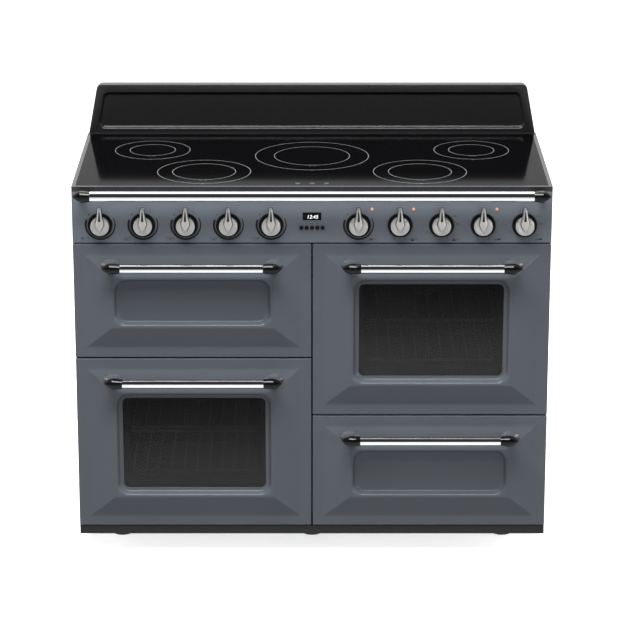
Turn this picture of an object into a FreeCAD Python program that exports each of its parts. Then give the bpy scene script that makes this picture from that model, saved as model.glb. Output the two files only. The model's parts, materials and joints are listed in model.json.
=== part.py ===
import FreeCAD, Part
import Sketcher
import operator
import os

os.makedirs("parts", exist_ok=True)
document = FreeCAD.newDocument("electric_range_cooker")
sheet = document.addObject("Spreadsheet::Sheet", "sizes")


class Length:
    """A size of the sheet, or one worked out from others, as a formula and as a number."""

    ACTIONS = {"+": operator.add, "-": operator.sub, "*": operator.mul, "/": operator.truediv}

    def __init__(self, text, value):
        self.text = text
        self.value = value

    def combine(self, sign, other, swapped=False):
        first, last = (as_length(other), self) if swapped else (self, as_length(other))
        value = self.ACTIONS[sign](first.value, last.value)
        return Length(f"({first.text} {sign} {last.text})", value)

    def __add__(self, other):
        return self.combine("+", other)

    def __radd__(self, other):
        return self.combine("+", other, True)

    def __sub__(self, other):
        return self.combine("-", other)

    def __rsub__(self, other):
        return self.combine("-", other, True)

    def __mul__(self, other):
        return self.combine("*", other)

    def __rmul__(self, other):
        return self.combine("*", other, True)

    def __truediv__(self, other):
        return self.combine("/", other)

    def __neg__(self):
        return Length(f"(0 - {self.text})", -self.value)


def as_length(value):
    return value if isinstance(value, Length) else Length(f"({value:.9f})", value)


def write_cell(alias, content, value):
    """Put one named cell at the end of the sheet."""
    write_cell.row = getattr(write_cell, "row", 0) + 1
    sheet.set(f"A{write_cell.row}", alias)
    sheet.set(f"B{write_cell.row}", content)
    sheet.setAlias(f"B{write_cell.row}", alias)
    return Length(f"sizes.{alias}", value)


def size(alias, value):
    """A driving dimension, in millimetres, or an angle in degrees."""
    return write_cell(alias, str(value), value)


def derived(alias, length):
    """A size that follows from driving dimensions, kept in the sheet as a formula."""
    return write_cell(alias, "=" + length.text.replace("sizes.", ""), length.value)


# Whole cooker
overall_width = size("overall_width", 1100)
body_depth = size("body_depth", 541)
hob_height = size("hob_height", 900)
foot_height = size("foot_height", 48)
sheet_gauge = size("sheet_gauge", 1.5)
glass_gauge = size("glass_gauge", 4)
panel_gap = size("panel_gap", 3.5)
slack = size("slack", 0.3)
running_slack = size("running_slack", 0.05)
overrun = size("overrun", 2)

# Towel rail
rail_radius = size("rail_radius", 11.5)
rail_standoff = size("rail_standoff", 45.5)
rail_drop = size("rail_drop", 11)
rail_end_gap = size("rail_end_gap", 5.5)
rail_cap_length = size("rail_cap_length", 41)
rail_cap_radius = size("rail_cap_radius", 13.5)
rail_neck_radius = size("rail_neck_radius", 7)
rail_neck_drop = size("rail_neck_drop", 8.5)
rail_rosette_radius = size("rail_rosette_radius", 10)
rail_rosette_depth = size("rail_rosette_depth", 3)

front_y = derived("front_y", (rail_cap_radius + rail_standoff - body_depth) / 2)
rear_y = derived("rear_y", front_y + body_depth)
half_width = derived("half_width", overall_width / 2)

# Hob, trim and backsplash
trim_depth = size("trim_depth", 11)
trim_width = size("trim_width", 9)
trim_lip = size("trim_lip", 0.5)
trim_ledge = size("trim_ledge", 6)
backsplash_height = size("backsplash_height", 122)
backsplash_thickness = size("backsplash_thickness", 24)
backsplash_lean = size("backsplash_lean", 25)
backsplash_corner = size("backsplash_corner", 15)
backsplash_rim = size("backsplash_rim", 20)
backsplash_recess = size("backsplash_recess", 6)
backsplash_fold = size("backsplash_fold", 10)
heater_height = size("heater_height", 28)
heater_wall = size("heater_wall", 8)
heater_floor = size("heater_floor", 6)
ribbon_radius = size("ribbon_radius", 2.5)
centre_zone = size("centre_zone", 270)
outer_zone = size("outer_zone", 180)
front_zone = size("front_zone", 218)
front_zone_margin = size("front_zone_margin", 21.3)
outer_zone_margin = size("outer_zone_margin", 69)
zone_gap = size("zone_gap", 7.3)
CENTRE_ZONE_SHARE, OUTER_ZONE_SHARE = 0.406, 0.5606
RIBBON_SHARES = (0.18, 0.26, 0.34, 0.42)

carcass_top = derived("carcass_top", hob_height - trim_depth)
trim_rear = derived("trim_rear", rear_y - backsplash_thickness)
front_row_y = derived("front_row_y", front_y + trim_width + front_zone_margin + front_zone / 2)
room_behind = derived("room_behind", trim_rear - trim_width - front_row_y)
centre_zone_y = derived("centre_zone_y", front_row_y + room_behind * CENTRE_ZONE_SHARE)
outer_zone_y = derived("outer_zone_y", front_row_y + room_behind * OUTER_ZONE_SHARE)
outer_zone_x = derived("outer_zone_x", half_width - trim_width - outer_zone_margin - outer_zone / 2)
front_zone_x = derived("front_zone_x", centre_zone / 2 + zone_gap + front_zone / 2)

# Fascia, knobs and clock
fascia_height = size("fascia_height", 121)
fascia_depth = size("fascia_depth", 45)
fascia_flange = size("fascia_flange", 24)
knob_height = size("knob_height", 41.7)
left_knob_inset = size("left_knob_inset", 64.3)
left_knob_near = size("left_knob_near", 93.7)
right_knob_inset = size("right_knob_inset", 62.7)
right_knob_near = size("right_knob_near", 106.5)
bezel_radius = size("bezel_radius", 26)
bezel_depth = size("bezel_depth", 6)
bezel_bore = size("bezel_bore", 8)
dial_radius = size("dial_radius", 21.5)
dial_front = size("dial_front", 18)
dial_edge = size("dial_edge", 1.5)
spindle_radius = size("spindle_radius", 3)
spindle_length = size("spindle_length", 22)
lever_thickness = size("lever_thickness", 8)
lever_tip = size("lever_tip", 45)
lever_tip_width = size("lever_tip_width", 9.8)
lever_waist_width = size("lever_waist_width", 17)
lever_waist = size("lever_waist", 7)
lever_tail = size("lever_tail", 9)
lever_tail_width = size("lever_tail_width", 5)
lever_slot_start = size("lever_slot_start", 14)
lever_slot_end = size("lever_slot_end", 38)
lever_slot_width = size("lever_slot_width", 5)
lever_slot_tip_width = size("lever_slot_tip_width", 2.4)
lever_slot_depth = size("lever_slot_depth", 3)
switch_width = size("switch_width", 36)
switch_depth = size("switch_depth", 30)
display_width = size("display_width", 42.7)
display_height = size("display_height", 18.4)
display_level = size("display_level", 62.4)
clock_width = size("clock_width", 72)
clock_tall = size("clock_tall", 56)
clock_depth = size("clock_depth", 28)
clock_setback = size("clock_setback", 8)
button_radius = size("button_radius", 4.85)
button_pitch = size("button_pitch", 12.2)
button_level = size("button_level", 35.6)
button_proud = size("button_proud", 2.5)
button_flange = size("button_flange", 0.7)
button_tail = size("button_tail", 3)
lamp_lens_radius = size("lamp_lens_radius", 3.25)
lamp_lens_level = size("lamp_lens_level", 79.8)
lamp_lens_proud = size("lamp_lens_proud", 1)
lamp_lens_length = size("lamp_lens_length", 5)
lamp_lens_offset = size("lamp_lens_offset", 31)
vent_slot_width = size("vent_slot_width", 38)
vent_slot_height = size("vent_slot_height", 4)
vent_slot_level = size("vent_slot_level", 102)

fascia_base = derived("fascia_base", carcass_top - fascia_height)

# Doors
plinth_height = size("plinth_height", 20.5)
plinth_setback = size("plinth_setback", 6)
oven_door_height = size("oven_door_height", 415)
door_depth = size("door_depth", 42)
seal_gap = size("seal_gap", 8)
side_panel_gap = size("side_panel_gap", 4)
border_side = size("border_side", 27)
border_end = size("border_end", 25)
bevel_side = size("bevel_side", 60)
bevel_end = size("bevel_end", 51)
ridge_rise = size("ridge_rise", 16)
ridge_flat = size("ridge_flat", 7)
recess_run = size("recess_run", 5)
recess_corner = size("recess_corner", 26)
lip_proud = size("lip_proud", 1.5)
lip_width = size("lip_width", 8)
window_corner = size("window_corner", 12)
glass_lap = size("glass_lap", 6)
liner_depth = size("liner_depth", 20)
liner_window_margin = size("liner_window_margin", 18)
handle_inset = size("handle_inset", 67.625)
handle_radius = size("handle_radius", 10.25)
handle_standoff = size("handle_standoff", 47)
handle_drop = size("handle_drop", 46)
cap_length = size("cap_length", 44)
cap_radius = size("cap_radius", 12.5)
cap_neck_radius = size("cap_neck_radius", 8)
rosette_radius = size("rosette_radius", 17.5)
rosette_proud = size("rosette_proud", 14)
neck_outset = size("neck_outset", 7)
hinge_setback = size("hinge_setback", 9)
hinge_rise = size("hinge_rise", 15)
hinge_inset = size("hinge_inset", 20)
pin_radius = size("pin_radius", 4)
arm_width = size("arm_width", 6)
arm_radius = size("arm_radius", 6.5)
arm_slack = size("arm_slack", 1)
lug_width = size("lug_width", 3)
lug_reach = size("lug_reach", 24)
arm_foot_width = size("arm_foot_width", 12)
arm_foot_height = size("arm_foot_height", 40)
arm_foot_gauge = size("arm_foot_gauge", 3)

door_base = derived("door_base", foot_height + plinth_height + panel_gap)
door_top = derived("door_top", fascia_base - panel_gap)
short_door_height = derived(
    "short_door_height", door_top - door_base - panel_gap - oven_door_height
)
door_back = derived("door_back", front_y + door_depth)
frame_face = derived("frame_face", door_back + seal_gap)
column_centre = derived("column_centre", (half_width + panel_gap / 2) / 2)
column_width = derived("column_width", half_width - panel_gap / 2)
handle_length = derived("handle_length", column_width - 2 * handle_inset)

# Chassis, cavities and drawer
frame_gauge = size("frame_gauge", 2)
frame_band = size("frame_band", 12)
tray_lip = size("tray_lip", 18)
rail_channel_width = size("rail_channel_width", 40)
rail_channel_height = size("rail_channel_height", 20)
cavity_side_margin = size("cavity_side_margin", 54.125)
cavity_end_margin = size("cavity_end_margin", 47.5)
cavity_rear_space = size("cavity_rear_space", 91)
cavity_corner = size("cavity_corner", 12)
cavity_flange = size("cavity_flange", 10)
seal_width = size("seal_width", 7)
wool_thickness = size("wool_thickness", 20)
baffle_width = size("baffle_width", 230)
baffle_depth = size("baffle_depth", 32)
baffle_hole = size("baffle_hole", 45)
fan_radius = size("fan_radius", 70)
fan_width = size("fan_width", 16)
fan_hub = size("fan_hub", 12)
fan_front_gap = size("fan_front_gap", 6)
blade_gauge = size("blade_gauge", 1.5)
shaft_radius = size("shaft_radius", 4)
motor_radius = size("motor_radius", 38)
motor_length = size("motor_length", 42)
motor_neck = size("motor_neck", 14)
ring_element_radius = size("ring_element_radius", 88)
element_radius = size("element_radius", 3.2)
grill_element_pitch = size("grill_element_pitch", 60)
grill_element_margin = size("grill_element_margin", 35)
grill_element_drop = size("grill_element_drop", 18)
lamp_radius = size("lamp_radius", 24)
lamp_depth = size("lamp_depth", 12)
lamp_bead = size("lamp_bead", 4.8)
lamp_drop = size("lamp_drop", 45)
rung_radius = size("rung_radius", 2.5)
rung_offset = size("rung_offset", 8.5)
rung_margin = size("rung_margin", 30)
lowest_rung = size("lowest_rung", 55)
highest_rung_drop = size("highest_rung_drop", 65)
rack_radius = size("rack_radius", 3)
rack_wire_radius = size("rack_wire_radius", 1.5)
drawer_box_rise = size("drawer_box_rise", 32)
drawer_box_drop = size("drawer_box_drop", 82)
drawer_rear_gap = size("drawer_rear_gap", 27.5)
slide_width = size("slide_width", 8)
slide_height = size("slide_height", 20)
runner_width = size("runner_width", 24)
runner_height = size("runner_height", 34)
runner_slack = size("runner_slack", 0.5)
foot_inset = size("foot_inset", 90)
front_foot_setback = size("front_foot_setback", 140)
rear_foot_setback = size("rear_foot_setback", 60)
foot_radius = size("foot_radius", 24)
foot_pad_height = size("foot_pad_height", 12)
foot_stem_radius = size("foot_stem_radius", 7)
vent_width = size("vent_width", 90)
vent_height = size("vent_height", 5)
vent_pitch_across = size("vent_pitch_across", 130)
vent_pitch_up = size("vent_pitch_up", 14)
vent_base = size("vent_base", 700)
terminal_width = size("terminal_width", 110)
terminal_height = size("terminal_height", 80)
terminal_depth = size("terminal_depth", 32)
terminal_inset = size("terminal_inset", 120)
terminal_base = size("terminal_base", 120)
gland_radius = size("gland_radius", 10)
gland_depth = size("gland_depth", 14)
gland_wall = size("gland_wall", 5)

cavity_width = derived("cavity_width", column_width - 2 * cavity_side_margin)
cavity_rear = derived("cavity_rear", rear_y - cavity_rear_space)
drawer_box_depth = derived(
    "drawer_box_depth", rear_y - sheet_gauge - drawer_rear_gap - door_back
)
terminal_x_centre = derived("terminal_x_centre", terminal_inset - half_width)

LEFT, RIGHT = -1, 1
KNOBS_EACH_SIDE = 5
KNOB_NAMES = (
    "rear_left_zone_knob",
    "front_left_zone_knob",
    "centre_zone_knob",
    "front_right_zone_knob",
    "rear_right_zone_knob",
    "grill_knob",
    "left_oven_function_knob",
    "left_oven_heat_knob",
    "right_oven_function_knob",
    "right_oven_heat_knob",
)
KNOBS_WITH_LENS = ("grill_knob", "left_oven_function_knob", "right_oven_function_knob")
CLOCK_BUTTONS = 5
FAN_BLADES = 8
VENTS_ACROSS = 6
VENTS_UP = 5
RACK_WIRES = 13
OVEN_RUNGS = 5
GRILL_BARS = 6
TERMINAL_POSTS = 3
CAP_ROUND_SHARE = 0.85
STUB_SHARE = 0.8
LEG_SHARE = 0.9
DOME_SHARE = 0.85
TIP_ROUND_SHARE = 0.45
LOW_RIM_SHARE = 0.6
CORNER_LIMIT_SHARE = 0.45
document.recompute()


def bind(item, **lengths):
    """Tie properties of an object to sizes."""
    for name, length in lengths.items():
        item.setExpression(name, as_length(length).text)
    return item


def place(item, x, y, z, rotation=None):
    """Put an object where sizes say, turned by a fixed rotation."""
    item.Placement = FreeCAD.Placement(FreeCAD.Vector(), rotation or FreeCAD.Rotation())
    for axis, length in zip("xyz", (x, y, z)):
        item.setExpression(f"Placement.Base.{axis}", as_length(length).text)
    return item


def turn(axis, angle):
    return FreeCAD.Rotation(FreeCAD.Vector(*axis), angle)


def span_length(span):
    return span[1] - span[0]


def middle(span):
    return (span[0] + span[1]) / 2


def inset(span, amount):
    return span[0] + amount, span[1] - amount


def about(centre, width):
    return centre - width / 2, centre + width / 2


def across(side, near, far):
    """The span from near to far of the middle plane, on the left or on the right."""
    return (near, far) if side == RIGHT else (-far, -near)


def block(x, y, z):
    """A box given by its spans along the three axes."""
    item = document.addObject("Part::Box", "block")
    bind(item, Length=span_length(x), Width=span_length(y), Height=span_length(z))
    return place(item, x[0], y[0], z[0])


def frustum(x, z, y, x_far, z_far):
    """A block whose section changes from x and z at the near end of y to another at its far end."""
    item = document.addObject("Part::Wedge", "frustum")
    bind(item, Xmin=x[0], Xmax=x[1], Zmin=z[0], Zmax=z[1], Ymin=y[0], Ymax=y[1])
    return bind(item, X2min=x_far[0], X2max=x_far[1], Z2min=z_far[0], Z2max=z_far[1])


def upright_taper(x_low, x_high, y, z):
    """A plate whose width changes from its lower to its upper edge."""
    item = document.addObject("Part::Wedge", "taper")
    bind(item, Xmin=x_low[0], Xmax=x_low[1], X2min=x_high[0], X2max=x_high[1])
    bind(item, Ymin=z[0], Ymax=z[1], Zmin=-y[1], Zmax=-y[0], Z2min=-y[1], Z2max=-y[0])
    item.Placement = FreeCAD.Placement(FreeCAD.Vector(), turn((1, 0, 0), 90))
    return item


def rod(axis, start, length, radius):
    """A round bar from its start along one axis."""
    item = document.addObject("Part::Cylinder", "rod")
    bind(item, Radius=radius, Height=length)
    turned = {"X": turn((0, 1, 0), 90), "Y": turn((1, 0, 0), -90), "Z": turn((0, 0, 1), 0)}
    return place(item, *start, turned[axis])


def hoop(centre, radius, wire, axis="Y", start=0, end=360):
    """A ring of round wire, or an arc of one."""
    item = document.addObject("Part::Torus", "hoop")
    bind(item, Radius1=radius, Radius2=wire)
    item.Angle3 = end - start
    spin = turn((0, 0, 1), start)
    lay = turn((1, 0, 0), -90) if axis == "Y" else FreeCAD.Rotation()
    return place(item, *centre, lay.multiply(spin))


def gather(*pieces):
    item = document.addObject("Part::Compound", "group")
    item.Links = list(pieces)
    return item


def join(*pieces):
    item = document.addObject("Part::MultiFuse", "join")
    item.Shapes = list(pieces)
    item.Refine = True
    return item


def cut(base, *tools):
    item = document.addObject("Part::Cut", "cut")
    item.Base = base
    item.Tool = tools[0] if len(tools) == 1 else gather(*tools)
    item.Refine = True
    return item


def reaches_along(edge, axis):
    box = edge.BoundBox
    reach = {"X": box.XLength, "Y": box.YLength, "Z": box.ZLength}[axis]
    return reach > edge.Length / 10


def rounded(item, radius, axis="Y", wanted=lambda edge: True):
    """Round the edges that run along one axis."""
    document.recompute()
    edges = enumerate(item.Shape.Edges, 1)
    chosen = [number for number, edge in edges if reaches_along(edge, axis) and wanted(edge)]
    fillet = document.addObject("Part::Fillet", "rounded")
    fillet.Base = item
    fillet.Edges = [(number, radius.value, radius.value) for number in chosen]
    return fillet


def capsule(centre, length, radius):
    """A short bar along x with well-rounded ends."""
    bar = rod("X", (centre[0] - length / 2, centre[1], centre[2]), length, radius)
    return rounded(bar, radius * CAP_ROUND_SHARE, "Z")


def shell(x, y, z, open_side, gauge=sheet_gauge):
    """A folded sheet box with one side left open."""
    hollow = {"x": inset(x, gauge), "y": inset(y, gauge), "z": inset(z, gauge)}
    axis, outer = {"front": ("y", y), "back": ("y", y), "top": ("z", z)}[open_side]
    low, high = hollow[axis]
    open_low = open_side == "front"
    hollow[axis] = (outer[0] - overrun, high) if open_low else (low, outer[1] + overrun)
    return cut(block(x, y, z), block(**hollow))


NODES = []


def node(label, item):
    item.Label = label
    NODES.append(item)
    return item


def copy_to(label, form, x, y, z):
    """A sub-part that is a copy of a form, moved to its place."""
    return node(label, place(gather(form), x, y, z))


def sketch_outline(body, plane_role, points, offset=None):
    """A closed outline of straight lines whose corners are tied to sizes."""
    plane = next(f for f in body.Origin.OriginFeatures if f.Role == plane_role)
    sketch = body.newObject("Sketcher::SketchObject", "outline")
    sketch.AttachmentSupport = [(plane, "")]
    sketch.MapMode = "FlatFace"
    if offset is not None:
        sketch.setExpression("AttachmentOffset.Base.z", offset.text)
    corners = [tuple(as_length(value) for value in point) for point in points]
    count = len(corners)
    for i in range(count):
        first, last = corners[i], corners[(i + 1) % count]
        ends = [FreeCAD.Vector(p[0].value, p[1].value, 0) for p in (first, last)]
        sketch.addGeometry(Part.LineSegment(*ends))
    for i in range(count):
        sketch.addConstraint(Sketcher.Constraint("Coincident", i, 2, (i + 1) % count, 1))
    for i, corner in enumerate(corners):
        for axis, length in zip("XY", corner):
            rule = Sketcher.Constraint(f"Distance{axis}", -1, 1, i, 1, length.value)
            number = sketch.addConstraint(rule)
            sketch.renameConstraint(number, f"corner{i}{axis.lower()}")
            sketch.setExpression(f"Constraints.corner{i}{axis.lower()}", length.text)
    return sketch


def sketch_circle(body, plane_role, centre, radius, offset=None):
    plane = next(f for f in body.Origin.OriginFeatures if f.Role == plane_role)
    sketch = body.newObject("Sketcher::SketchObject", "circle")
    sketch.AttachmentSupport = [(plane, "")]
    sketch.MapMode = "FlatFace"
    if offset is not None:
        sketch.setExpression("AttachmentOffset.Base.z", offset.text)
    middle_point = FreeCAD.Vector(centre[0].value, centre[1].value, 0)
    sketch.addGeometry(Part.Circle(middle_point, FreeCAD.Vector(0, 0, 1), radius.value))
    for axis, length in zip("XY", centre):
        rule = Sketcher.Constraint(f"Distance{axis}", -1, 1, 0, 3, length.value)
        number = sketch.addConstraint(rule)
        sketch.renameConstraint(number, f"centre{axis.lower()}")
        sketch.setExpression(f"Constraints.centre{axis.lower()}", length.text)
    number = sketch.addConstraint(Sketcher.Constraint("Radius", 0, radius.value))
    sketch.renameConstraint(number, "radius")
    sketch.setExpression("Constraints.radius", radius.text)
    return sketch


def feature(body, kind, profile, **lengths):
    item = body.newObject(f"PartDesign::{kind}", kind.lower())
    item.Profile = profile
    return bind(item, **lengths)


# Places that several pieces share
column_x = {side: across(side, panel_gap / 2, half_width) for side in (LEFT, RIGHT)}
centre_x = {LEFT: -column_centre, RIGHT: column_centre}
left_oven_z = (door_base, door_base + oven_door_height)
grill_z = (door_top - short_door_height, door_top)
right_oven_z = (door_top - oven_door_height, door_top)
drawer_z = (door_base, door_base + short_door_height)
panel_recess_y = (front_y - ridge_rise, front_y - lip_proud)
inner_wall = half_width - sheet_gauge


def knob_row(side, inset_from_end, near):
    """Even places between the end of the fascia and the clock, from left to right."""
    reach = half_width - inset_from_end
    pitch = (reach - near) / (KNOBS_EACH_SIDE - 1)
    return sorted([side * (near + i * pitch) for i in range(KNOBS_EACH_SIDE)], key=place_of)


def place_of(length):
    return length.value


left_knobs = knob_row(LEFT, left_knob_inset, left_knob_near)
right_knobs = knob_row(RIGHT, right_knob_inset, right_knob_near)
KNOB_PLACES = dict(zip(KNOB_NAMES, left_knobs + right_knobs))
lens_places = [KNOB_PLACES[name] + lamp_lens_offset for name in KNOBS_WITH_LENS]


knob_z = fascia_base + knob_height


def bevel_form(x, z, y_shift):
    """The raised pressing of a door, a shallow frustum that rises to its ridge."""
    ridge_x, ridge_z = ridge_spans(x, z)
    return frustum(
        ridge_x,
        ridge_z,
        (front_y - ridge_rise + y_shift, front_y + y_shift),
        inset(x, border_side),
        inset(z, border_end),
    )


def ridge_spans(x, z):
    return inset(x, border_side + bevel_side), inset(z, border_end + bevel_end)


def recess_form(x, z, growth, y_shift):
    """The sunk middle of the pressing, with drafted walls and round corners."""
    ridge_x, ridge_z = ridge_spans(x, z)
    top_x, top_z = inset(ridge_x, ridge_flat - growth), inset(ridge_z, ridge_flat - growth)
    form = frustum(
        top_x,
        top_z,
        (panel_recess_y[0], panel_recess_y[1] + y_shift),
        inset(top_x, recess_run),
        inset(top_z, recess_run),
    )
    wall_limit = span_length(inset(top_z, recess_run)) * CORNER_LIMIT_SHARE
    return rounded(form, min(recess_corner, wall_limit, key=place_of))


def window_spans(x, z):
    ridge_x, ridge_z = ridge_spans(x, z)
    margin = ridge_flat + recess_run + lip_width
    return inset(ridge_x, margin), inset(ridge_z, margin)


def hinge_places(x):
    return x[0] + hinge_inset, x[1] - hinge_inset


def hinge_notches(x, z):
    """Room in a door for its two fixed hinge arms while it swings."""
    width = arm_width + 2 * arm_slack
    back = (front_y + sheet_gauge, door_back + overrun)
    rise = (z[0] - overrun, z[0] + hinge_rise + arm_radius + arm_slack)
    return [block(about(place_x, width), back, rise) for place_x in hinge_places(x)]


def pressed_panel(x, z, window, hinged):
    """The outer skin of a door: folded edges, bevelled frame, sunk middle."""
    blank = shell(x, (front_y, door_back), z, "back")
    raised = cut(join(blank, bevel_form(x, z, 0)), bevel_form(x, z, sheet_gauge))
    sunk = join(raised, recess_form(x, z, sheet_gauge, sheet_gauge))
    pressed = cut(sunk, recess_form(x, z, 0, 0))
    if window:
        window_x, window_z = window_spans(x, z)
        through = (front_y - ridge_rise, front_y + overrun)
        pressed = cut(pressed, rounded(block(window_x, through, window_z), window_corner))
    if hinged:
        pressed = cut(pressed, *hinge_notches(x, z))
    return pressed


def door_panes(x, z):
    """The outer pane behind the skin's lip and the inner pane on the liner."""
    window_x, window_z = window_spans(x, z)
    outer_y = (front_y, front_y + glass_gauge)
    outer = block(inset(window_x, -glass_lap), outer_y, inset(window_z, -glass_lap))
    inner_back = door_back - sheet_gauge
    inner_x, inner_z = inset(window_x, liner_window_margin), inset(window_z, liner_window_margin)
    inner_y = (inner_back - glass_gauge, inner_back)
    inner = block(inset(inner_x, -glass_lap), inner_y, inset(inner_z, -glass_lap))
    corner = window_corner
    return gather(rounded(outer, corner), rounded(inner, corner))


def hinge_bracket(place_x, z):
    """Two lugs on the skin with the pin that turns in the fixed arm."""
    pivot = z[0] + hinge_rise
    pivot_y = front_y + hinge_setback
    gap = arm_width / 2 + arm_slack
    lugs = []
    for side in (LEFT, RIGHT):
        lug_x = across(side, gap, gap + lug_width)
        lug_x = (place_x + lug_x[0], place_x + lug_x[1])
        lug_y = (front_y + sheet_gauge, pivot_y + pin_radius + lug_width)
        lugs.append(block(lug_x, lug_y, (z[0] + sheet_gauge, pivot + lug_reach)))
    length = arm_width + 2 * (arm_slack + lug_width)
    pin = rod("X", (place_x - length / 2, pivot_y, pivot), length, pin_radius)
    bridge_z = (pivot + arm_radius + arm_slack + slack, pivot + lug_reach)
    bridge_y = (front_y + sheet_gauge, front_y + 2 * sheet_gauge)
    return join(*lugs, pin, block(about(place_x, length), bridge_y, bridge_z))


def door_liner(x, z, window):
    """The inner pan of a door with its hinge brackets."""
    pan = shell(
        inset(x, sheet_gauge), (door_back - liner_depth, door_back), inset(z, sheet_gauge), "front"
    )
    if window:
        window_x, window_z = window_spans(x, z)
        hole_x = inset(window_x, liner_window_margin)
        hole_z = inset(window_z, liner_window_margin)
        hole_y = (door_back - sheet_gauge - overrun, door_back + overrun)
        pan = cut(pan, rounded(block(hole_x, hole_y, hole_z), window_corner))
    pan = cut(pan, *hinge_notches(x, z))
    brackets = [hinge_bracket(place_x, z) for place_x in hinge_places(x)]
    return gather(pan, *brackets)


def door_handle(x, z):
    """A straight tube with an egg-shaped bracket on each end, standing on the top bevel."""
    centre = middle(x)
    axis_y, axis_z = front_y - handle_standoff, z[1] - handle_drop
    tube_length = handle_length - cap_length
    start = (centre - tube_length / 2, axis_y, axis_z)
    tube = rod("X", start, tube_length, handle_radius)
    brackets = []
    for side in (LEFT, RIGHT):
        cap_x = centre + side * (handle_length - cap_length) / 2
        neck_x = cap_x + side * neck_outset
        cap = capsule((cap_x, axis_y, axis_z), cap_length, cap_radius)
        neck = rod("Y", (neck_x, axis_y, axis_z), front_y - axis_y, cap_neck_radius)
        rosette_start = (neck_x, front_y - rosette_proud, axis_z)
        rosette = rod("Y", rosette_start, rosette_proud, rosette_radius)
        bracket = cut(join(cap, neck, rosette), bevel_form(x, (z[1] - oven_door_height, z[1]), 0))
        brackets.append(cut(bracket, rod("X", start, tube_length, handle_radius)))
    return gather(tube, *brackets)


def hinge_arms(x, z):
    """The fixed arms that stand out of the front frame and carry a door's pins."""
    pivot, pivot_y = z[0] + hinge_rise, front_y + hinge_setback
    arms = []
    for place_x in hinge_places(x):
        arm_x = about(place_x, arm_width)
        bar = block(arm_x, (pivot_y, frame_face), about(pivot, 2 * arm_radius))
        eye = rod("X", (arm_x[0], pivot_y, pivot), arm_width, arm_radius)
        foot_y = (frame_face - arm_foot_gauge, frame_face)
        foot = block(about(place_x, arm_foot_width), foot_y, about(pivot, arm_foot_height))
        bore_start = (arm_x[0] - overrun, pivot_y, pivot)
        bore = rod("X", bore_start, arm_width + 2 * overrun, pin_radius + running_slack)
        arms.append(cut(join(bar, eye, foot), bore))
    return arms


# Doors and drawer front, each form built once with its lower edge at the floor
door_x = about(as_length(0), column_width)
tall_z, short_z = (as_length(0), oven_door_height), (as_length(0), short_door_height)
oven_door_forms = {
    "panel": pressed_panel(door_x, tall_z, window=True, hinged=True),
    "glass": door_panes(door_x, tall_z),
    "liner": door_liner(door_x, tall_z, window=True),
}
handle_form = door_handle(door_x, (as_length(0), as_length(0)))
for name, side, z in (("left_oven", LEFT, left_oven_z), ("right_oven", RIGHT, right_oven_z)):
    for piece, form in oven_door_forms.items():
        copy_to(f"{name}_door_{piece}", form, centre_x[side], 0, z[0])
    copy_to(f"{name}_door_handle", handle_form, centre_x[side], 0, z[1])
grill_panel = pressed_panel(door_x, short_z, window=False, hinged=True)
copy_to("grill_door_panel", grill_panel, centre_x[LEFT], 0, grill_z[0])
grill_liner = door_liner(door_x, short_z, window=False)
copy_to("grill_door_liner", grill_liner, centre_x[LEFT], 0, grill_z[0])
copy_to("grill_door_handle", handle_form, centre_x[LEFT], 0, grill_z[1])
drawer_panel = pressed_panel(door_x, short_z, window=False, hinged=False)
copy_to("drawer_front", drawer_panel, centre_x[RIGHT], 0, drawer_z[0])
copy_to("drawer_handle", handle_form, centre_x[RIGHT], 0, drawer_z[1])
HINGED = ((LEFT, left_oven_z), (LEFT, grill_z), (RIGHT, right_oven_z))
arms = [arm for side, z in HINGED for arm in hinge_arms(column_x[side], z)]
node("hinge_receivers", gather(*arms))


# Drawer box and its runners
def drawer():
    x = column_x[RIGHT]
    box_x = inset((frame_gauge / 2, inner_wall), runner_width + runner_slack)
    box_z = (drawer_z[0] + drawer_box_rise, drawer_z[1] - drawer_box_drop)
    box_y = (door_back, door_back + drawer_box_depth)
    box = shell(box_x, box_y, box_z, "top")
    plate_y = (door_back - sheet_gauge, door_back)
    plate = block(inset(x, sheet_gauge), plate_y, inset(drawer_z, sheet_gauge))
    slide_z = about(middle(box_z), slide_height)
    slides = [
        block((box_x[0] - slide_width, box_x[0]), box_y, slide_z),
        block((box_x[1], box_x[1] + slide_width), box_y, slide_z),
    ]
    node("drawer_box", join(box, plate, *slides))
    runner_y = (frame_face + frame_gauge, door_back + drawer_box_depth)
    runner_z = about(middle(slide_z), runner_height)
    groove_y = inset(runner_y, -overrun)
    groove_z = inset(slide_z, -runner_slack)
    runner_left = block((frame_gauge / 2, box_x[0] - runner_slack), runner_y, runner_z)
    groove_x = (box_x[0] - slide_width - runner_slack, box_x[0] + overrun)
    runner_left = cut(runner_left, block(groove_x, groove_y, groove_z))
    runner_right = block((box_x[1] + runner_slack, inner_wall), runner_y, runner_z)
    groove_x = (box_x[1] - overrun, box_x[1] + slide_width + runner_slack)
    runner_right = cut(runner_right, block(groove_x, groove_y, groove_z))
    node("drawer_runners", gather(runner_left, runner_right))
    opening_x = inset(box_x, -(slide_width + 2 * runner_slack))
    return opening_x, inset(box_z, -2 * slack)


drawer_opening_x, drawer_opening_z = drawer()


# Cavities and what they hold
def cavity_spans(side, door_z):
    return inset(column_x[side], cavity_side_margin), inset(door_z, cavity_end_margin)


CAVITIES = {
    "left_oven": cavity_spans(LEFT, left_oven_z),
    "right_oven": cavity_spans(RIGHT, right_oven_z),
    "grill": cavity_spans(LEFT, grill_z),
}


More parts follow.
